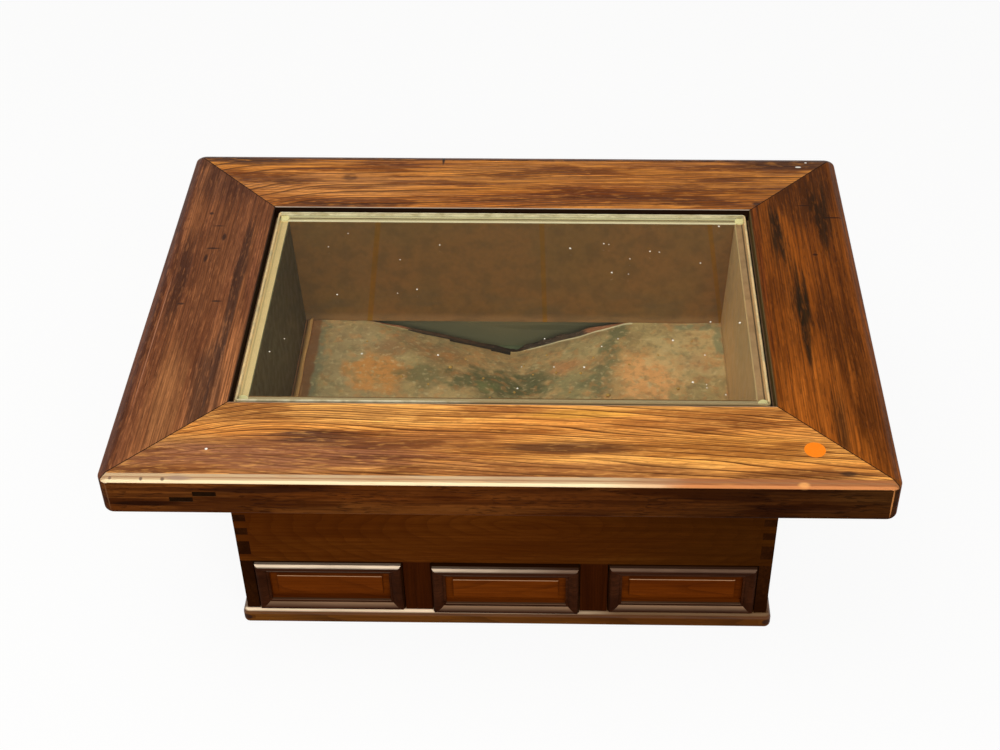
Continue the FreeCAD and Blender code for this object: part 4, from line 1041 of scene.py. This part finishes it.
class CopperShader:
    """Builds the copper's material: brown metal under green and orange patina."""

    def __init__(self, name: str, copper: Copper, seed: float) -> None:
        """Start a copper material.

        Args:
            name: the material's name.
            copper: the finish.
            seed: moves the patina.
        """
        self.graph = Graph(name)
        self.copper = copper
        self.seed = seed

    def patina(self) -> bpy.types.NodeSocket:
        """Mix the metal with its patina and grime.

        Returns:
            The colour's socket.
        """
        graph, copper = self.graph, self.copper
        space = graph.vector("ADD", graph.place(), (self.seed, self.seed * 2, self.seed * 3))
        green = graph.span(graph.noise(space, (11.0, 11.0, 11.0), 5.0), 0.44, 0.62, 0.0, copper.green_share)
        orange = graph.span(graph.noise(graph.vector("ADD", space, (3.0, 7.0, 1.0)), (9.0, 9.0, 9.0), 5.0),
                            0.46, 0.62, 0.0, copper.orange_share)
        cloud = graph.span(graph.noise(space, (55.0, 55.0, 55.0), 5.0), 0.45, 0.65, 0.0, copper.cloud)
        colour = graph.blend(orange, copper.base, copper.orange)
        colour = graph.blend(green, colour, copper.green)
        colour = graph.blend(cloud, colour, copper.grime)
        fine = graph.noise(space, (210.0, 210.0, 210.0), 4.0)
        worn = graph.span(fine, 0.40, 0.66, 0.0, copper.cloud * 0.5)
        return graph.blend(worn, colour, copper.grime)

    def build(self, colour: bpy.types.NodeSocket | None = None,
              dent: float = 0.0012) -> bpy.types.Material:
        """Make the material.

        Args:
            colour: another colour than the plain patina.
            dent: the depth of its dents, in metres.

        Returns:
            The copper's material.
        """
        graph, copper = self.graph, self.copper
        colour = colour or self.patina()
        small = graph.noise(graph.place(), (240.0, 240.0, 240.0), 2.0)
        dents = graph.math("ADD", graph.noise(graph.place(), (28.0, 28.0, 28.0), 3.0),
                           graph.math("MULTIPLY", small, 0.15))
        shader = graph.node("ShaderNodeBsdfPrincipled", {
            "Base Color": colour,
            "Metallic": copper.metallic,
            "Roughness": graph.span(graph.noise(graph.place(), (90.0, 90.0, 90.0)), 0.3, 0.7,
                                    copper.roughness - 0.1, copper.roughness + 0.12),
            "Specular IOR Level": 0.3,
            "Normal": graph.bump(dents, dent),
        })
        return graph.finish(shader.outputs[0])


@dataclass(frozen=True)
class FloorForm:
    """The sagging floor, in metres, from the CAD floor's own box and shares of it."""

    half_x: float
    half_y: float
    flat_z: float
    low_z: float
    loose_left: float
    loose_right: float
    pull: float = 0.0045
    thick: float = 0.0012
    columns: int = 150
    rows: int = 90
    blur: float = 0.006
    crease_share: Plan = (0.18, -0.49)
    patch_deep: float = 0.06
    dent: float = 0.0022
    highest: float = 0.003
    dents_per_m: float = 16
    flat_edge: float = 0.02
    shadow_rows: float = 3.6
    shadow_end: float = -0.004
    highlight_start: float = 0.012
    torn_edge: float = 0.008
    lip_high: float = 0.0045
    lip_lean: float = 0.0065

    @property
    def lowest(self) -> Place:
        """The lowest point, at the middle of the torn back edge."""
        return (0.0, self.half_y - self.pull, self.low_z)

    @property
    def crease(self) -> Place:
        """Where the two creases meet."""
        return (self.half_x * self.crease_share[0], self.half_y * self.crease_share[1], self.flat_z)


class FloorFinish(Enum):
    """The number of each of the floor's finishes, in the order that the piece takes them."""

    PATINA = 0
    CREASED = 1
    TORN = 2
    PALE = 3


class LinerFloor:
    """The loose copper floor: dented, sagging towards the back, with a torn, turned-up edge."""

    LOOSE_SHARES = (-0.71, 0.57)

    def __init__(self) -> None:
        """Take the floor's form from the CAD floor's box."""
        low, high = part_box("liner_floor")
        wall_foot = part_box("liner_wall_front")[0][2]
        self.form = FloorForm(half_x=high[0], half_y=high[1], flat_z=wall_foot,
                              low_z=low[2] + FloorForm.thick,
                              loose_left=high[0] * self.LOOSE_SHARES[0],
                              loose_right=high[0] * self.LOOSE_SHARES[1])

    def back_edge(self, x: float) -> Place:
        """Find the floor's back edge.

        Args:
            x: how far along the edge.

        Returns:
            The edge's place there.
        """
        form = self.form
        end = form.loose_left if x < 0 else form.loose_right
        share = max(0.0, 1 - x / end)
        return (x, form.half_y - form.pull * share, form.flat_z + (form.low_z - form.flat_z) * share)

    def facet(self, x: float, y: float) -> float:
        """Find the height of the floor before it is softened.

        Args:
            x: the place along the floor.
            y: the place across it.

        Returns:
            The height there.
        """
        form = self.form
        low, crease = Vector(form.lowest[:2]), Vector(form.crease[:2])
        for end_x in (form.loose_left, form.loose_right):
            end = Vector((end_x, form.half_y))
            side, fall, point = end - crease, low - crease, Vector((x, y)) - crease
            area = side.cross(fall)
            along = side.cross(point) / area
            across = point.cross(fall) / area
            if along >= 0 and across >= 0 and along + across <= 1.05:
                return form.flat_z + (form.low_z - form.flat_z) * min(along, 1.0)
        return form.flat_z

    def height(self, x: float, y: float) -> float:
        """Find the height of the floor's top, softened and dented.

        Args:
            x: the place along the floor.
            y: the place across it.

        Returns:
            The height there.
        """
        form = self.form
        steps = (-1, 0, 1)
        around = [self.facet(x + form.blur * right, y + form.blur * back)
                  for right in steps for back in steps]
        edge = min(1.0, (form.half_x - abs(x)) / form.flat_edge, (form.half_y + y) / form.flat_edge)
        dents = noise.fractal(Vector((x * form.dents_per_m, y * form.dents_per_m, 0.3)), 1.0, 2.0, 4)
        dented = sum(around) / len(around) + dents * form.dent * max(edge, 0.0)
        return max(form.low_z, min(dented, form.flat_z + form.highest))

    def build(self) -> None:
        """Make the sheet, its torn edge and its left lip, and hide the plain one."""
        form = self.form
        built = bmesh.new()
        grid = []
        for column in range(form.columns + 1):
            x = form.half_x * (column / form.columns * 2 - 1)
            back = self.back_edge(x)
            line = []
            for row in range(form.rows + 1):
                y = -form.half_y + (back[1] + form.half_y) * row / form.rows
                line.append(built.verts.new((x, y, self.height(x, y))))
            grid.append(line)
        for left, right in zip(grid, grid[1:]):
            for row in range(form.rows):
                face = built.faces.new((left[row], right[row], right[row + 1], left[row + 1]))
                near_low = 1 - left[row].co.x / form.loose_left
                # Painted shade on the last rows before the left limb's torn edge.
                if left[row].co.x < form.shadow_end and row >= form.rows - form.shadow_rows * near_low:
                    face.material_index = FloorFinish.CREASED.value
                # Painted highlight on the last row along the right limb.
                if row == form.rows - 1 and form.highlight_start < left[row].co.x < form.loose_right:
                    face.material_index = FloorFinish.PALE.value
        self.turn_up_torn_edge(built, [line[-1] for line in grid])
        self.turn_up_lip(built)
        piece = Piece("liner_floor_sheet")
        piece.fill(built)
        solid = piece.object.modifiers.new("thickness", "SOLIDIFY")
        solid.thickness = form.thick * 0.8
        solid.offset = -1.0
        finishes = (self.material(), CopperShader("crease_shade_copper", CREASE_SHADE_COPPER, 1.1).build(),
                    self.torn_material(), CopperShader("edge_highlight_copper", EDGE_HIGHLIGHT_COPPER, 3.3).build())
        piece.wear(finishes, "copper", "liner")
        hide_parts("liner_floor")

    def torn_height(self, x: float, sag: float) -> float:
        """Find how high the torn edge stands, with a split at the lowest point.

        Args:
            x: how far along the edge.
            sag: how far the floor sags there, from 0 to 1.

        Returns:
            The edge's height over the floor.
        """
        form = self.form
        ragged = 0.70 + 0.30 * noise.noise(Vector((x * 70, 0.0, 0.0)))
        split = min(1.0, abs(x - 0.004) / 0.010)
        side = form.torn_edge * (0.45 if x < 0 else 1.0)
        return side * ragged * min(sag * 3.0, 1.0) * split

    def turn_up_torn_edge(self, built: bmesh.types.BMesh, edge: list[bmesh.types.BMVert]) -> None:
        """Raise a ragged strip along the sagging part of the back edge.

        Args:
            built: the floor's mesh.
            edge: the back edge's points, from left to right.
        """
        form = self.form
        raised = []
        for vertex in edge:
            sag = (form.flat_z - vertex.co.z) / (form.flat_z - form.low_z)
            rise = Vector((0, form.pull * sag * 0.6, self.torn_height(vertex.co.x, sag)))
            raised.append(built.verts.new(vertex.co + rise))
        for index in range(len(edge) - 1):
            if (raised[index].co - edge[index].co).length > 1e-4:
                face = built.faces.new((edge[index], edge[index + 1], raised[index + 1], raised[index]))
                face.material_index = FloorFinish.TORN.value

    def turn_up_lip(self, built: bmesh.types.BMesh) -> None:
        """Stand a narrow lip along the left end.

        Args:
            built: the floor's mesh.
        """
        form = self.form
        foot_x = -form.half_x + form.thick * 2
        strip = []
        for row in range(form.rows + 1):
            y = (form.half_y - form.thick * 2) * (row / form.rows * 2 - 1)
            wave = 0.0016 * noise.noise(Vector((y * 26, 4.0, 0)))
            top = (foot_x + form.lip_lean + wave, y, form.flat_z + form.lip_high + wave * 0.3)
            strip.append((built.verts.new((foot_x, y, form.flat_z)), built.verts.new(top)))
        for (low, high), (next_low, next_high) in zip(strip, strip[1:]):
            built.faces.new((low, next_low, next_high, high))

    def torn_material(self) -> bpy.types.Material:
        """Dress the torn edge: dark as painted shade, but reddish close to both its ends.

        Returns:
            The edge's material.
        """
        shader = CopperShader("torn_copper", TORN_EDGE_SHADE_COPPER, 2.2)
        graph = shader.graph
        ragged = graph.math("MULTIPLY", graph.noise(graph.place(), (90.0, 90.0, 90.0)), 0.03)
        moved = graph.math("ADD", graph.split(graph.place())[0], ragged)
        ends = graph.math("MAXIMUM", graph.span(moved, -0.105, -0.090, 1.0, 0.0),
                          graph.span(moved, 0.080, 0.095))
        reddened = graph.blend(graph.math("MULTIPLY", ends, 0.85), shader.patina(), (0.36, 0.135, 0.055))
        return shader.build(reddened)

    def material(self) -> bpy.types.Material:
        """Lay patina by place: a green valley, orange patches, a red-brown left end.

        Returns:
            The floor's material.
        """
        shader = CopperShader("liner_floor_copper", FLOOR_COPPER, 0.4)
        graph = shader.graph
        colour = shader.patina()
        x, _, z = graph.split(graph.place())
        form = self.form
        cloud = graph.math("SUBTRACT", graph.noise(graph.place(), (60.0, 60.0, 60.0), 8.0), 0.5)
        fray = graph.math("MULTIPLY", cloud, 2.6)
        for centre, reach, tint, strength in FLOOR_PATCHES:
            offset = graph.vector("SUBTRACT", graph.place(), (*centre, form.flat_z))
            radius = graph.length(graph.vector("DIVIDE", offset, (*reach, form.patch_deep)))
            ragged = graph.math("ADD", radius, fray)
            colour = graph.blend(graph.span(ragged, 0.5, 1.3, strength, 0.0), colour, tint)
        for seed, scale, low, share, tint in FLOOR_FLECKS:
            moved = graph.vector("ADD", graph.place(), (seed, 0.0, 0.0))
            fleck = graph.noise(moved, (scale, scale, scale), 6.0)
            colour = graph.blend(graph.span(fleck, low, low + 0.14, 0.0, share), colour, tint)
        moved = graph.math("ADD", x, graph.math("MULTIPLY", cloud, 0.010))
        end = graph.span(moved, -form.half_x + 0.017, -form.half_x + 0.021, 0.8, 0.0)
        colour = graph.blend(end, colour, (0.34, 0.135, 0.050))
        lip = graph.math("MULTIPLY", graph.span(x, -form.half_x + 0.0105, -form.half_x + 0.0115, 1.0, 0.0),
                         graph.span(z, form.flat_z + 0.0004, form.flat_z + 0.0012))
        colour = graph.blend(lip, colour, (0.80, 0.44, 0.16))
        return shader.build(colour)


# Flecks all over the liner's floor: seed, fineness, threshold, strength, colour.
FLOOR_FLECKS = (
    (1.0, 85.0, 0.52, 0.35, (0.30, 0.28, 0.140)),
    (2.0, 95.0, 0.52, 0.40, (0.80, 0.36, 0.120)),
    (3.0, 150.0, 0.52, 0.30, (0.28, 0.18, 0.090)),
    (4.0, 190.0, 0.55, 0.45, (0.90, 0.72, 0.400)),
)

# Patches on the liner's floor: centre and reach in metres, colour, strength.
FLOOR_PATCHES = (
    ((-0.165, 0.070), (0.055, 0.080), (0.56, 0.41, 0.220), 0.7),
    ((-0.135, 0.042), (0.032, 0.030), (0.92, 0.40, 0.105), 0.85),
    ((-0.095, 0.092), (0.045, 0.018), (0.50, 0.29, 0.130), 0.7),
    ((-0.120, 0.080), (0.020, 0.012), (0.40, 0.22, 0.100), 0.6),
    ((-0.064, 0.076), (0.028, 0.016), (0.58, 0.29, 0.105), 0.7),
    ((-0.085, 0.040), (0.026, 0.024), (0.27, 0.235, 0.105), 0.8),
    ((-0.055, 0.045), (0.020, 0.012), (0.48, 0.27, 0.105), 0.6),
    ((-0.008, 0.040), (0.052, 0.030), (0.175, 0.180, 0.080), 0.9),
    ((0.024, 0.060), (0.022, 0.024), (0.190, 0.185, 0.085), 0.85),
    ((-0.024, 0.030), (0.010, 0.012), (0.30, 0.32, 0.120), 0.7),
    ((0.070, 0.034), (0.030, 0.028), (0.46, 0.40, 0.195), 0.8),
    ((0.052, 0.068), (0.019, 0.012), (0.76, 0.38, 0.165), 0.85),
    ((0.082, 0.095), (0.036, 0.016), (0.64, 0.51, 0.250), 0.7),
    ((0.112, 0.110), (0.010, 0.022), (0.24, 0.24, 0.115), 0.8),
    ((0.101, 0.073), (0.010, 0.026), (0.25, 0.24, 0.115), 0.8),
    ((0.090, 0.034), (0.018, 0.024), (0.24, 0.22, 0.105), 0.8),
    ((0.139, 0.038), (0.034, 0.032), (1.10, 0.56, 0.220), 0.85),
    ((0.190, 0.080), (0.050, 0.045), (0.86, 0.66, 0.330), 0.65),
    ((0.188, 0.062), (0.018, 0.014), (0.68, 0.40, 0.190), 0.6),
    ((0.195, 0.119), (0.034, 0.006), (0.30, 0.34, 0.200), 0.7),
    ((0.213, 0.100), (0.005, 0.030), (0.34, 0.38, 0.220), 0.7),
    ((-0.200, 0.060), (0.009, 0.130), (0.270, 0.290, 0.180), 0.7),
)


class Liner:
    """The copper walls, flange, floor and the crumbs on it."""

    def build(self) -> None:
        """Dress the walls and flange, and make the floor."""
        looks = {"front": WALL_COPPER, "back": WALL_COPPER, "left": SHADED_WALL_COPPER, "right": LIT_WALL_COPPER}
        for seed, (side, copper) in enumerate(looks.items(), start=1):
            dress(f"liner_wall_{side}", self.wall(side, copper, seed * 0.9))
        dress("liner_flange", self.flange())
        floor = LinerFloor()
        floor.build()
        CRUMBS.build(floor.height).wear((OCHRE_CRUMB.build("ochre_crumb"),), "copper", "liner")

    def wall(self, side: str, copper: Copper, seed: float) -> bpy.types.Material:
        """Dress a wall, with a pinkish foot and, at the back, cloudy darkening towards the bottom and faint
        upright streaks.

        Args:
            side: front, back, left or right.
            copper: the finish.
            seed: moves the patina.

        Returns:
            The wall's material.
        """
        shader = CopperShader(f"liner_wall_{side}_copper", copper, seed)
        graph = shader.graph
        colour = shader.patina()
        x, y, z = graph.split(graph.place())
        if side == "left":
            return shader.build(colour, 0.0003)
        foot_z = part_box("liner_wall_back")[0][2]
        foot = graph.span(z, foot_z + 0.003, foot_z + 0.012, 0.5, 0.0)
        colour = graph.blend(foot, colour, (0.50, 0.29, 0.140))
        if side == "back":
            cloud = graph.noise(graph.place(), (18.0, 18.0, 60.0), 4.0)
            darker_low = graph.math("MULTIPLY", graph.span(cloud, 0.46, 0.66, 0.0, 0.6),
                               graph.span(z, foot_z + 0.02, foot_z + 0.055, 0.8, 0.0))
            colour = graph.blend(darker_low, colour, (0.165, 0.115, 0.055))
            for streak_x, lean, width, strength in WALL_STREAKS:
                away = graph.math("MULTIPLY", graph.math("SUBTRACT", z, foot_z), lean)
                beside = graph.math("SUBTRACT", graph.math("SUBTRACT", x, away), streak_x)
                apart = graph.math("ABSOLUTE", beside)
                share = graph.span(apart, width * 0.5, width, strength, 0.0)
                colour = graph.blend(share, colour, (1.12, 0.92, 0.12), "MULTIPLY")
        return shader.build(colour)

    def flange(self) -> bpy.types.Material:
        """Dress the flange: a painted highlight on the inner arris, a tan face, a dull line under the
        glass's edge, and painted shade in the gap outside the glass, dusty at the front.

        Returns:
            The flange's material.
        """
        shader = CopperShader("liner_flange_copper", FLANGE_COPPER, 0.3)
        graph = shader.graph
        colour = shader.patina()
        inner_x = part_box("liner_wall_right")[1][0] - FloorForm.thick
        inner_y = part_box("liner_wall_back")[1][1] - FloorForm.thick
        x, y, _ = (graph.math("ABSOLUTE", part) for part in graph.split(graph.place()))
        aside, ahead = graph.math("SUBTRACT", x, inner_x), graph.math("SUBTRACT", y, inner_y)
        out = graph.math("MAXIMUM", aside, ahead)
        long_side = graph.span(graph.math("SUBTRACT", ahead, aside), -0.0004, 0.0004)
        outer = graph.span(out, 0.0078, 0.0086)
        pale = graph.blend(long_side, (0.90, 0.62, 0.28), (0.98, 0.92, 0.62))
        colour = graph.blend(graph.math("MULTIPLY", outer, 0.85), colour, pale)
        dulled = graph.math("MULTIPLY", graph.span(out, 0.0042, 0.0052), long_side)
        dulled = graph.math("MULTIPLY", dulled, graph.span(out, 0.0060, 0.0070, 0.7, 0.0))
        colour = graph.blend(dulled, colour, (0.44, 0.39, 0.25))
        # Painted highlight on the flange's inner arris.
        bright = graph.math("MULTIPLY", graph.span(out, 0.0036, 0.0046, 0.95, 0.0), long_side)
        colour = graph.blend(bright, colour, (1.0, 0.88, 0.62))
        groove = graph.math("MULTIPLY", graph.span(out, 0.0062, 0.0067),
                            graph.span(out, 0.0074, 0.0080, 1.0, 0.0))
        colour = graph.blend(graph.math("MULTIPLY", groove, 0.85), colour, (0.10, 0.070, 0.022))
        signed_x, signed_y, _ = graph.split(graph.place())
        short_side = graph.math("SUBTRACT", 1.0, long_side)
        right = graph.math("MULTIPLY", graph.span(signed_x, 0.0, EDGE_SOFT), short_side)
        colour = graph.blend(right, colour, graph.blend(1.0, colour, (0.80, 0.66, 0.66), "MULTIPLY"))
        far_left = graph.math("MULTIPLY", graph.span(signed_x, -EDGE_SOFT, 0.0, 0.5, 0.0), short_side)
        colour = graph.blend(far_left, colour, (1.20, 0.90, 0.46))
        front = graph.math("MULTIPLY", graph.span(signed_y, -EDGE_SOFT, 0.0, 1.0, 0.0), long_side)
        colour = graph.blend(front, colour, graph.blend(0.8, colour, (0.50, 0.34, 0.16)))
        left = graph.span(signed_x, -EDGE_SOFT, 0.0, 0.0020, 0.0)
        # Painted shade: the flange outside the glass's edge goes near black, dusty brown at the front.
        hidden = graph.span(graph.math("SUBTRACT", out, left), 0.0116, 0.0124)
        dusty = graph.math("MULTIPLY", front, graph.span(signed_x, -0.07, 0.02, 0.3, 0.8))
        gloom = graph.blend(dusty, (0.012, 0.008, 0.005), (0.20, 0.13, 0.055))
        return shader.build(graph.blend(hidden, colour, gloom))


# Upright streaks on the liner's back wall: x at the foot, lean, half width in metres, strength.
WALL_STREAKS = (
    (-0.1505, 0.135, 0.0036, 0.85),
    (0.0336, -0.026, 0.0032, 0.75),
    (0.2180, -0.158, 0.0030, 0.85),
)


@dataclass(frozen=True)
class SheetGlass:
    """The look of the loose glass. Lengths are in metres, colours linear."""

    tint: Colour = (0.955, 0.975, 0.94)
    let_through: Colour = (0.93, 0.95, 0.91)
    # edge and side_edge give the frosted ground edge the cream and tan of the lit copper flange seen through
    # it: painted reflection.
    edge: Colour = (0.95, 0.86, 0.58)
    side_edge: Colour = (0.98, 0.70, 0.34)
    dusty_edge: Colour = (0.44, 0.31, 0.145)
    dull_edge: Colour = (0.60, 0.50, 0.28)
    edge_wide: float = 0.0024


class Glass:
    """The sheet of glass with ground edges, the dust on it, and the clear pads under it."""

    def __init__(self) -> None:
        """Read the sheet's box from the frame."""
        self.look = SheetGlass()
        self.low, self.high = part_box("glass_top")

    def edges(self, graph: Graph) -> bpy.types.NodeSocket:
        """Find the ground edge.

        Args:
            graph: the glass's tree.

        Returns:
            One on the ground edge, and zero on the clear glass.
        """
        x, y, z = graph.split(graph.place())
        wide = self.look.edge_wide
        sides = graph.span(graph.math("ABSOLUTE", x), self.high[0] - wide, self.high[0] - wide * 0.7)
        back = graph.span(y, self.high[1] - wide, self.high[1] - wide * 0.7)
        arris = graph.math("MULTIPLY", graph.span(z, self.high[2] - 0.0010, self.high[2] - 0.0005),
                           graph.span(y, self.low[1] + 0.0008, self.low[1] + 0.0013, 1.0, 0.0))
        face = graph.span(y, self.low[1] + 0.0001, self.low[1] + 0.0003, 1.0, 0.0)
        front = graph.math("MAXIMUM", arris, face)
        return graph.math("MAXIMUM", graph.math("MAXIMUM", sides, back), front)

    def dull(self, graph: Graph) -> bpy.types.NodeSocket:
        """Find the dusty part of the front edge.

        Args:
            graph: the glass's tree.

        Returns:
            One where the edge is dusty rather than bright.
        """
        x, y, _ = graph.split(graph.place())
        front = graph.span(y, self.low[1] + 0.003, self.low[1] + 0.004, 1.0, 0.0)
        return graph.math("MULTIPLY", front, graph.span(x, -0.08, -0.01))

    def sheet(self) -> bpy.types.Material:
        """Make clear glass that lets lamp light straight through, so that the well is lit.

        Returns:
            The glass's material.
        """
        graph, look = Graph("sheet_glass"), self.look
        clear = graph.node("ShaderNodeBsdfPrincipled", {
            "Base Color": opaque(look.tint), "Roughness": 0.0, "IOR": 1.5, "Transmission Weight": 1.0})
        open_air = graph.node("ShaderNodeBsdfTransparent", {"Color": opaque(look.let_through)})
        rays = graph.node("ShaderNodeLightPath", {})
        lit = graph.math("MAXIMUM", rays.outputs["Is Shadow Ray"], rays.outputs["Is Diffuse Ray"])
        body = graph.node("ShaderNodeMixShader", {0: lit, 1: clear.outputs[0], 2: open_air.outputs[0]})
        mottled = graph.span(graph.noise(graph.place(), (80.0, 80.0, 80.0), 3.0), 0.4, 0.7)
        along_sides = graph.span(graph.math("ABSOLUTE", graph.split(graph.place())[0]),
                                 self.high[0] - look.edge_wide, self.high[0] - look.edge_wide * 0.7)
        pale = graph.blend(mottled, look.edge, look.dull_edge)
        tan = graph.blend(mottled, look.side_edge, look.dull_edge)
        bright = graph.blend(along_sides, pale, tan)
        ground = graph.node("ShaderNodeBsdfPrincipled", {
            "Base Color": graph.blend(self.dull(graph), bright, look.dusty_edge),
            "Roughness": 0.5, "Transmission Weight": 0.2, "Specular IOR Level": 0.25})
        rim = graph.math("MULTIPLY", self.edges(graph), 0.8)
        edged = graph.node("ShaderNodeMixShader", {0: rim, 1: body.outputs[0], 2: ground.outputs[0]})
        return graph.finish(edged.outputs[0])

    def build(self) -> None:
        """Dress the glass and the pads, and lay the dust on the sheet."""
        dress("glass_top", self.sheet())
        dress("glass_pads", CLEAR_PAD.build("clear_pad"))
        dust = DUST.build(lambda x, y: self.high[2])
        dust.wear((PALE_DUST.build("pale_dust"),), "sheet_glass", "glass")


@dataclass(frozen=True)
class PaperDot:
    """A plain round paper dot stuck on the top, in metres."""

    centre: Plan = (0.266, -0.199)
    radius: float = 0.0092
    thick: float = 0.00012
    colour: Colour = (0.98, 0.235, 0.006)
    fibre: Colour = (0.90, 0.19, 0.005)
    bevel: float = 0.985
    proud: float = 0.9

    def build(self) -> None:
        """Make the dot."""
        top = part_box("rim_front")[1][2]
        built = bmesh.new()
        ring = bmesh.ops.create_circle(built, cap_ends=True, segments=48, radius=self.radius)
        lifted = bmesh.ops.extrude_face_region(built, geom=list(built.faces))
        for item in lifted["geom"]:
            if isinstance(item, bmesh.types.BMVert):
                item.co.z += self.thick
                item.co.xy *= self.bevel
        bmesh.ops.translate(built, verts=built.verts, vec=(*self.centre, top - self.thick * self.proud))
        log.info("paper dot of %d points", len(ring["verts"]))
        piece = Piece("paper_dot")
        piece.fill(built, smooth=False)
        graph = Graph("orange_paper")
        fibres = graph.noise(graph.place(), (900.0, 900.0, 900.0), 3.0)
        shader = graph.node("ShaderNodeBsdfPrincipled", {
            "Base Color": graph.blend(graph.span(fibres, 0.3, 0.7, 0.0, 0.35), self.colour, self.fibre),
            "Roughness": graph.span(fibres, 0.3, 0.7, 0.6, 0.8),
            "Specular IOR Level": 0.2,
            "Normal": graph.bump(fibres, 0.00005),
        })
        piece.wear((graph.finish(shader.outputs[0]),), "rim_gold", "case")


@dataclass(frozen=True)
class Lamp:
    """A soft rectangular lamp, in metres and watts."""

    name: str
    place: Place
    aim: Place
    wide: float
    tall: float
    power: float
    colour: Colour = (1.0, 0.97, 0.92)
    mirrored: bool = True

    def build(self) -> None:
        """Hang the lamp."""
        data = bpy.data.lights.new(self.name, "AREA")
        data.shape = "RECTANGLE"
        data.size, data.size_y = self.wide, self.tall
        data.energy = self.power
        data.color = self.colour
        lamp = bpy.data.objects.new(self.name, data)
        bpy.context.scene.collection.objects.link(lamp)
        lamp.location = self.place
        lamp.visible_glossy = self.mirrored
        lamp.visible_transmission = self.mirrored
        aim = Vector(self.aim) - Vector(self.place)
        lamp.rotation_euler = aim.to_track_quat("-Z", "Y").to_euler()


class Studio:
    """A pale floor, a pale world and soft lamps."""

    LAMPS = (
        Lamp("key", (-0.35, -0.35, 1.75), (0.0, 0.0, 0.2), 1.5, 0.8, 11.0),
        Lamp("fill", (0.25, -1.65, 1.45), (0.0, 0.0, 0.1), 1.3, 0.7, 22.0, mirrored=False),
        Lamp("side", (-1.9, 0.4, 1.3), (0.0, 0.0, 0.15), 0.9, 0.9, 5.0),
    )

    FLOOR_RADIUS = 14.0
    FLOOR_DROP = 0.0003
    FLOOR_COLOUR = (0.86, 0.86, 0.85)
    FLOOR_GLOW = 0.92
    WHITE = (1.0, 1.0, 1.0)
    SKY_FADE = (0.20, 0.50)
    OVERHEAD = 0.096
    WORLD_COLOUR = (1.0, 0.98, 0.95)
    WORLD_STRENGTH = 0.36

    def floor(self) -> None:
        """Lay a wide pale floor that keeps a soft shadow."""
        built = bmesh.new()
        bmesh.ops.create_circle(built, cap_ends=True, segments=64, radius=self.FLOOR_RADIUS)
        bmesh.ops.translate(built, verts=built.verts, vec=(0, 0, -self.FLOOR_DROP))
        mesh = bpy.data.meshes.new("floor")
        built.to_mesh(mesh)
        built.free()
        graph = Graph("pale_floor")
        matt = graph.node("ShaderNodeBsdfDiffuse", {"Color": opaque(self.FLOOR_COLOUR)})
        glow = graph.node("ShaderNodeEmission", {"Color": opaque(self.WHITE), "Strength": 1.0})
        share = graph.math("MULTIPLY", graph.seen(), self.FLOOR_GLOW)
        mixed = graph.node("ShaderNodeMixShader", {0: share, 1: matt.outputs[0], 2: glow.outputs[0]})
        mesh.materials.append(graph.finish(mixed.outputs[0]))
        floor = bpy.data.objects.new("floor", mesh)
        bpy.context.scene.collection.objects.link(floor)
        floor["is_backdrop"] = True

    def world(self) -> None:
        """Light softly from all round; what is seen or mirrored fades from white to grey overhead."""
        graph = WorldGraph("studio")
        upward = graph.split(graph.node("ShaderNodeTexCoord", {}).outputs["Generated"])[2]
        fade = graph.span(upward, *self.SKY_FADE, 1.0, self.OVERHEAD)
        seen = graph.node("ShaderNodeBackground", {"Color": opaque(self.WHITE), "Strength": fade})
        light = graph.node("ShaderNodeBackground", {
            "Color": opaque(self.WORLD_COLOUR), "Strength": self.WORLD_STRENGTH})
        mixed = graph.node("ShaderNodeMixShader", {0: graph.seen(), 1: light.outputs[0], 2: seen.outputs[0]})
        graph.node("ShaderNodeOutputWorld", {"Surface": mixed.outputs[0]})

    def build(self) -> None:
        """Set up the studio."""
        self.floor()
        self.world()
        for lamp in self.LAMPS:
            lamp.build()
        bpy.context.scene.view_settings.view_transform = "Standard"


@dataclass(frozen=True)
class PhotoCamera:
    """The photograph's camera. The picture is 1000 by 750; lengths in metres, angles in degrees."""

    focal_px: float = 1614.1
    middle_px: Plan = (536.7, 338.1)
    picture_px: Plan = (1000.0, 750.0)
    place: Place = (0.0537, -1.1800, 1.2289)
    yaw: float = -1.269
    pitch: float = 40.259
    roll: float = -0.354
    sensor_mm: float = 36.0

    def build(self) -> None:
        """Place the camera and make it the scene's."""
        data = bpy.data.cameras.new("photo_camera")
        wide, high = self.picture_px
        data.sensor_width = self.sensor_mm
        data.lens = self.focal_px / wide * self.sensor_mm
        data.shift_x = (wide / 2 - self.middle_px[0]) / wide
        data.shift_y = (self.middle_px[1] - high / 2) / wide
        yaw, pitch, roll = (math.radians(angle) for angle in (self.yaw, self.pitch, self.roll))
        level = math.cos(pitch)
        forward = Vector((math.sin(yaw) * level, math.cos(yaw) * level, -math.sin(pitch)))
        right = Vector((math.cos(yaw), -math.sin(yaw), 0.0))
        up = right.cross(forward)
        turned_right = right * math.cos(roll) + up * math.sin(roll)
        turned_up = up * math.cos(roll) - right * math.sin(roll)
        camera = bpy.data.objects.new("photo_camera", data)
        bpy.context.scene.collection.objects.link(camera)
        turn = Matrix((turned_right, turned_up, -forward)).transposed()
        camera.matrix_world = Matrix.Translation(self.place) @ turn.to_4x4()
        bpy.context.scene.camera = camera


def main() -> None:
    """Build the scene, piece by piece."""
    logging.basicConfig(level=logging.INFO, format="%(name)s: %(message)s")
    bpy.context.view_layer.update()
    PhotoCamera().build()
    Studio().build()
    Top().build()
    Box().build()
    Plinth().build()
    for name, seed in (("left", 0.3), ("middle", 1.1), ("right", 1.9)):
        Drawer(name, seed).build()
    Liner().build()
    Glass().build()
    PaperDot().build()


if __name__ == "__main__":
    main()
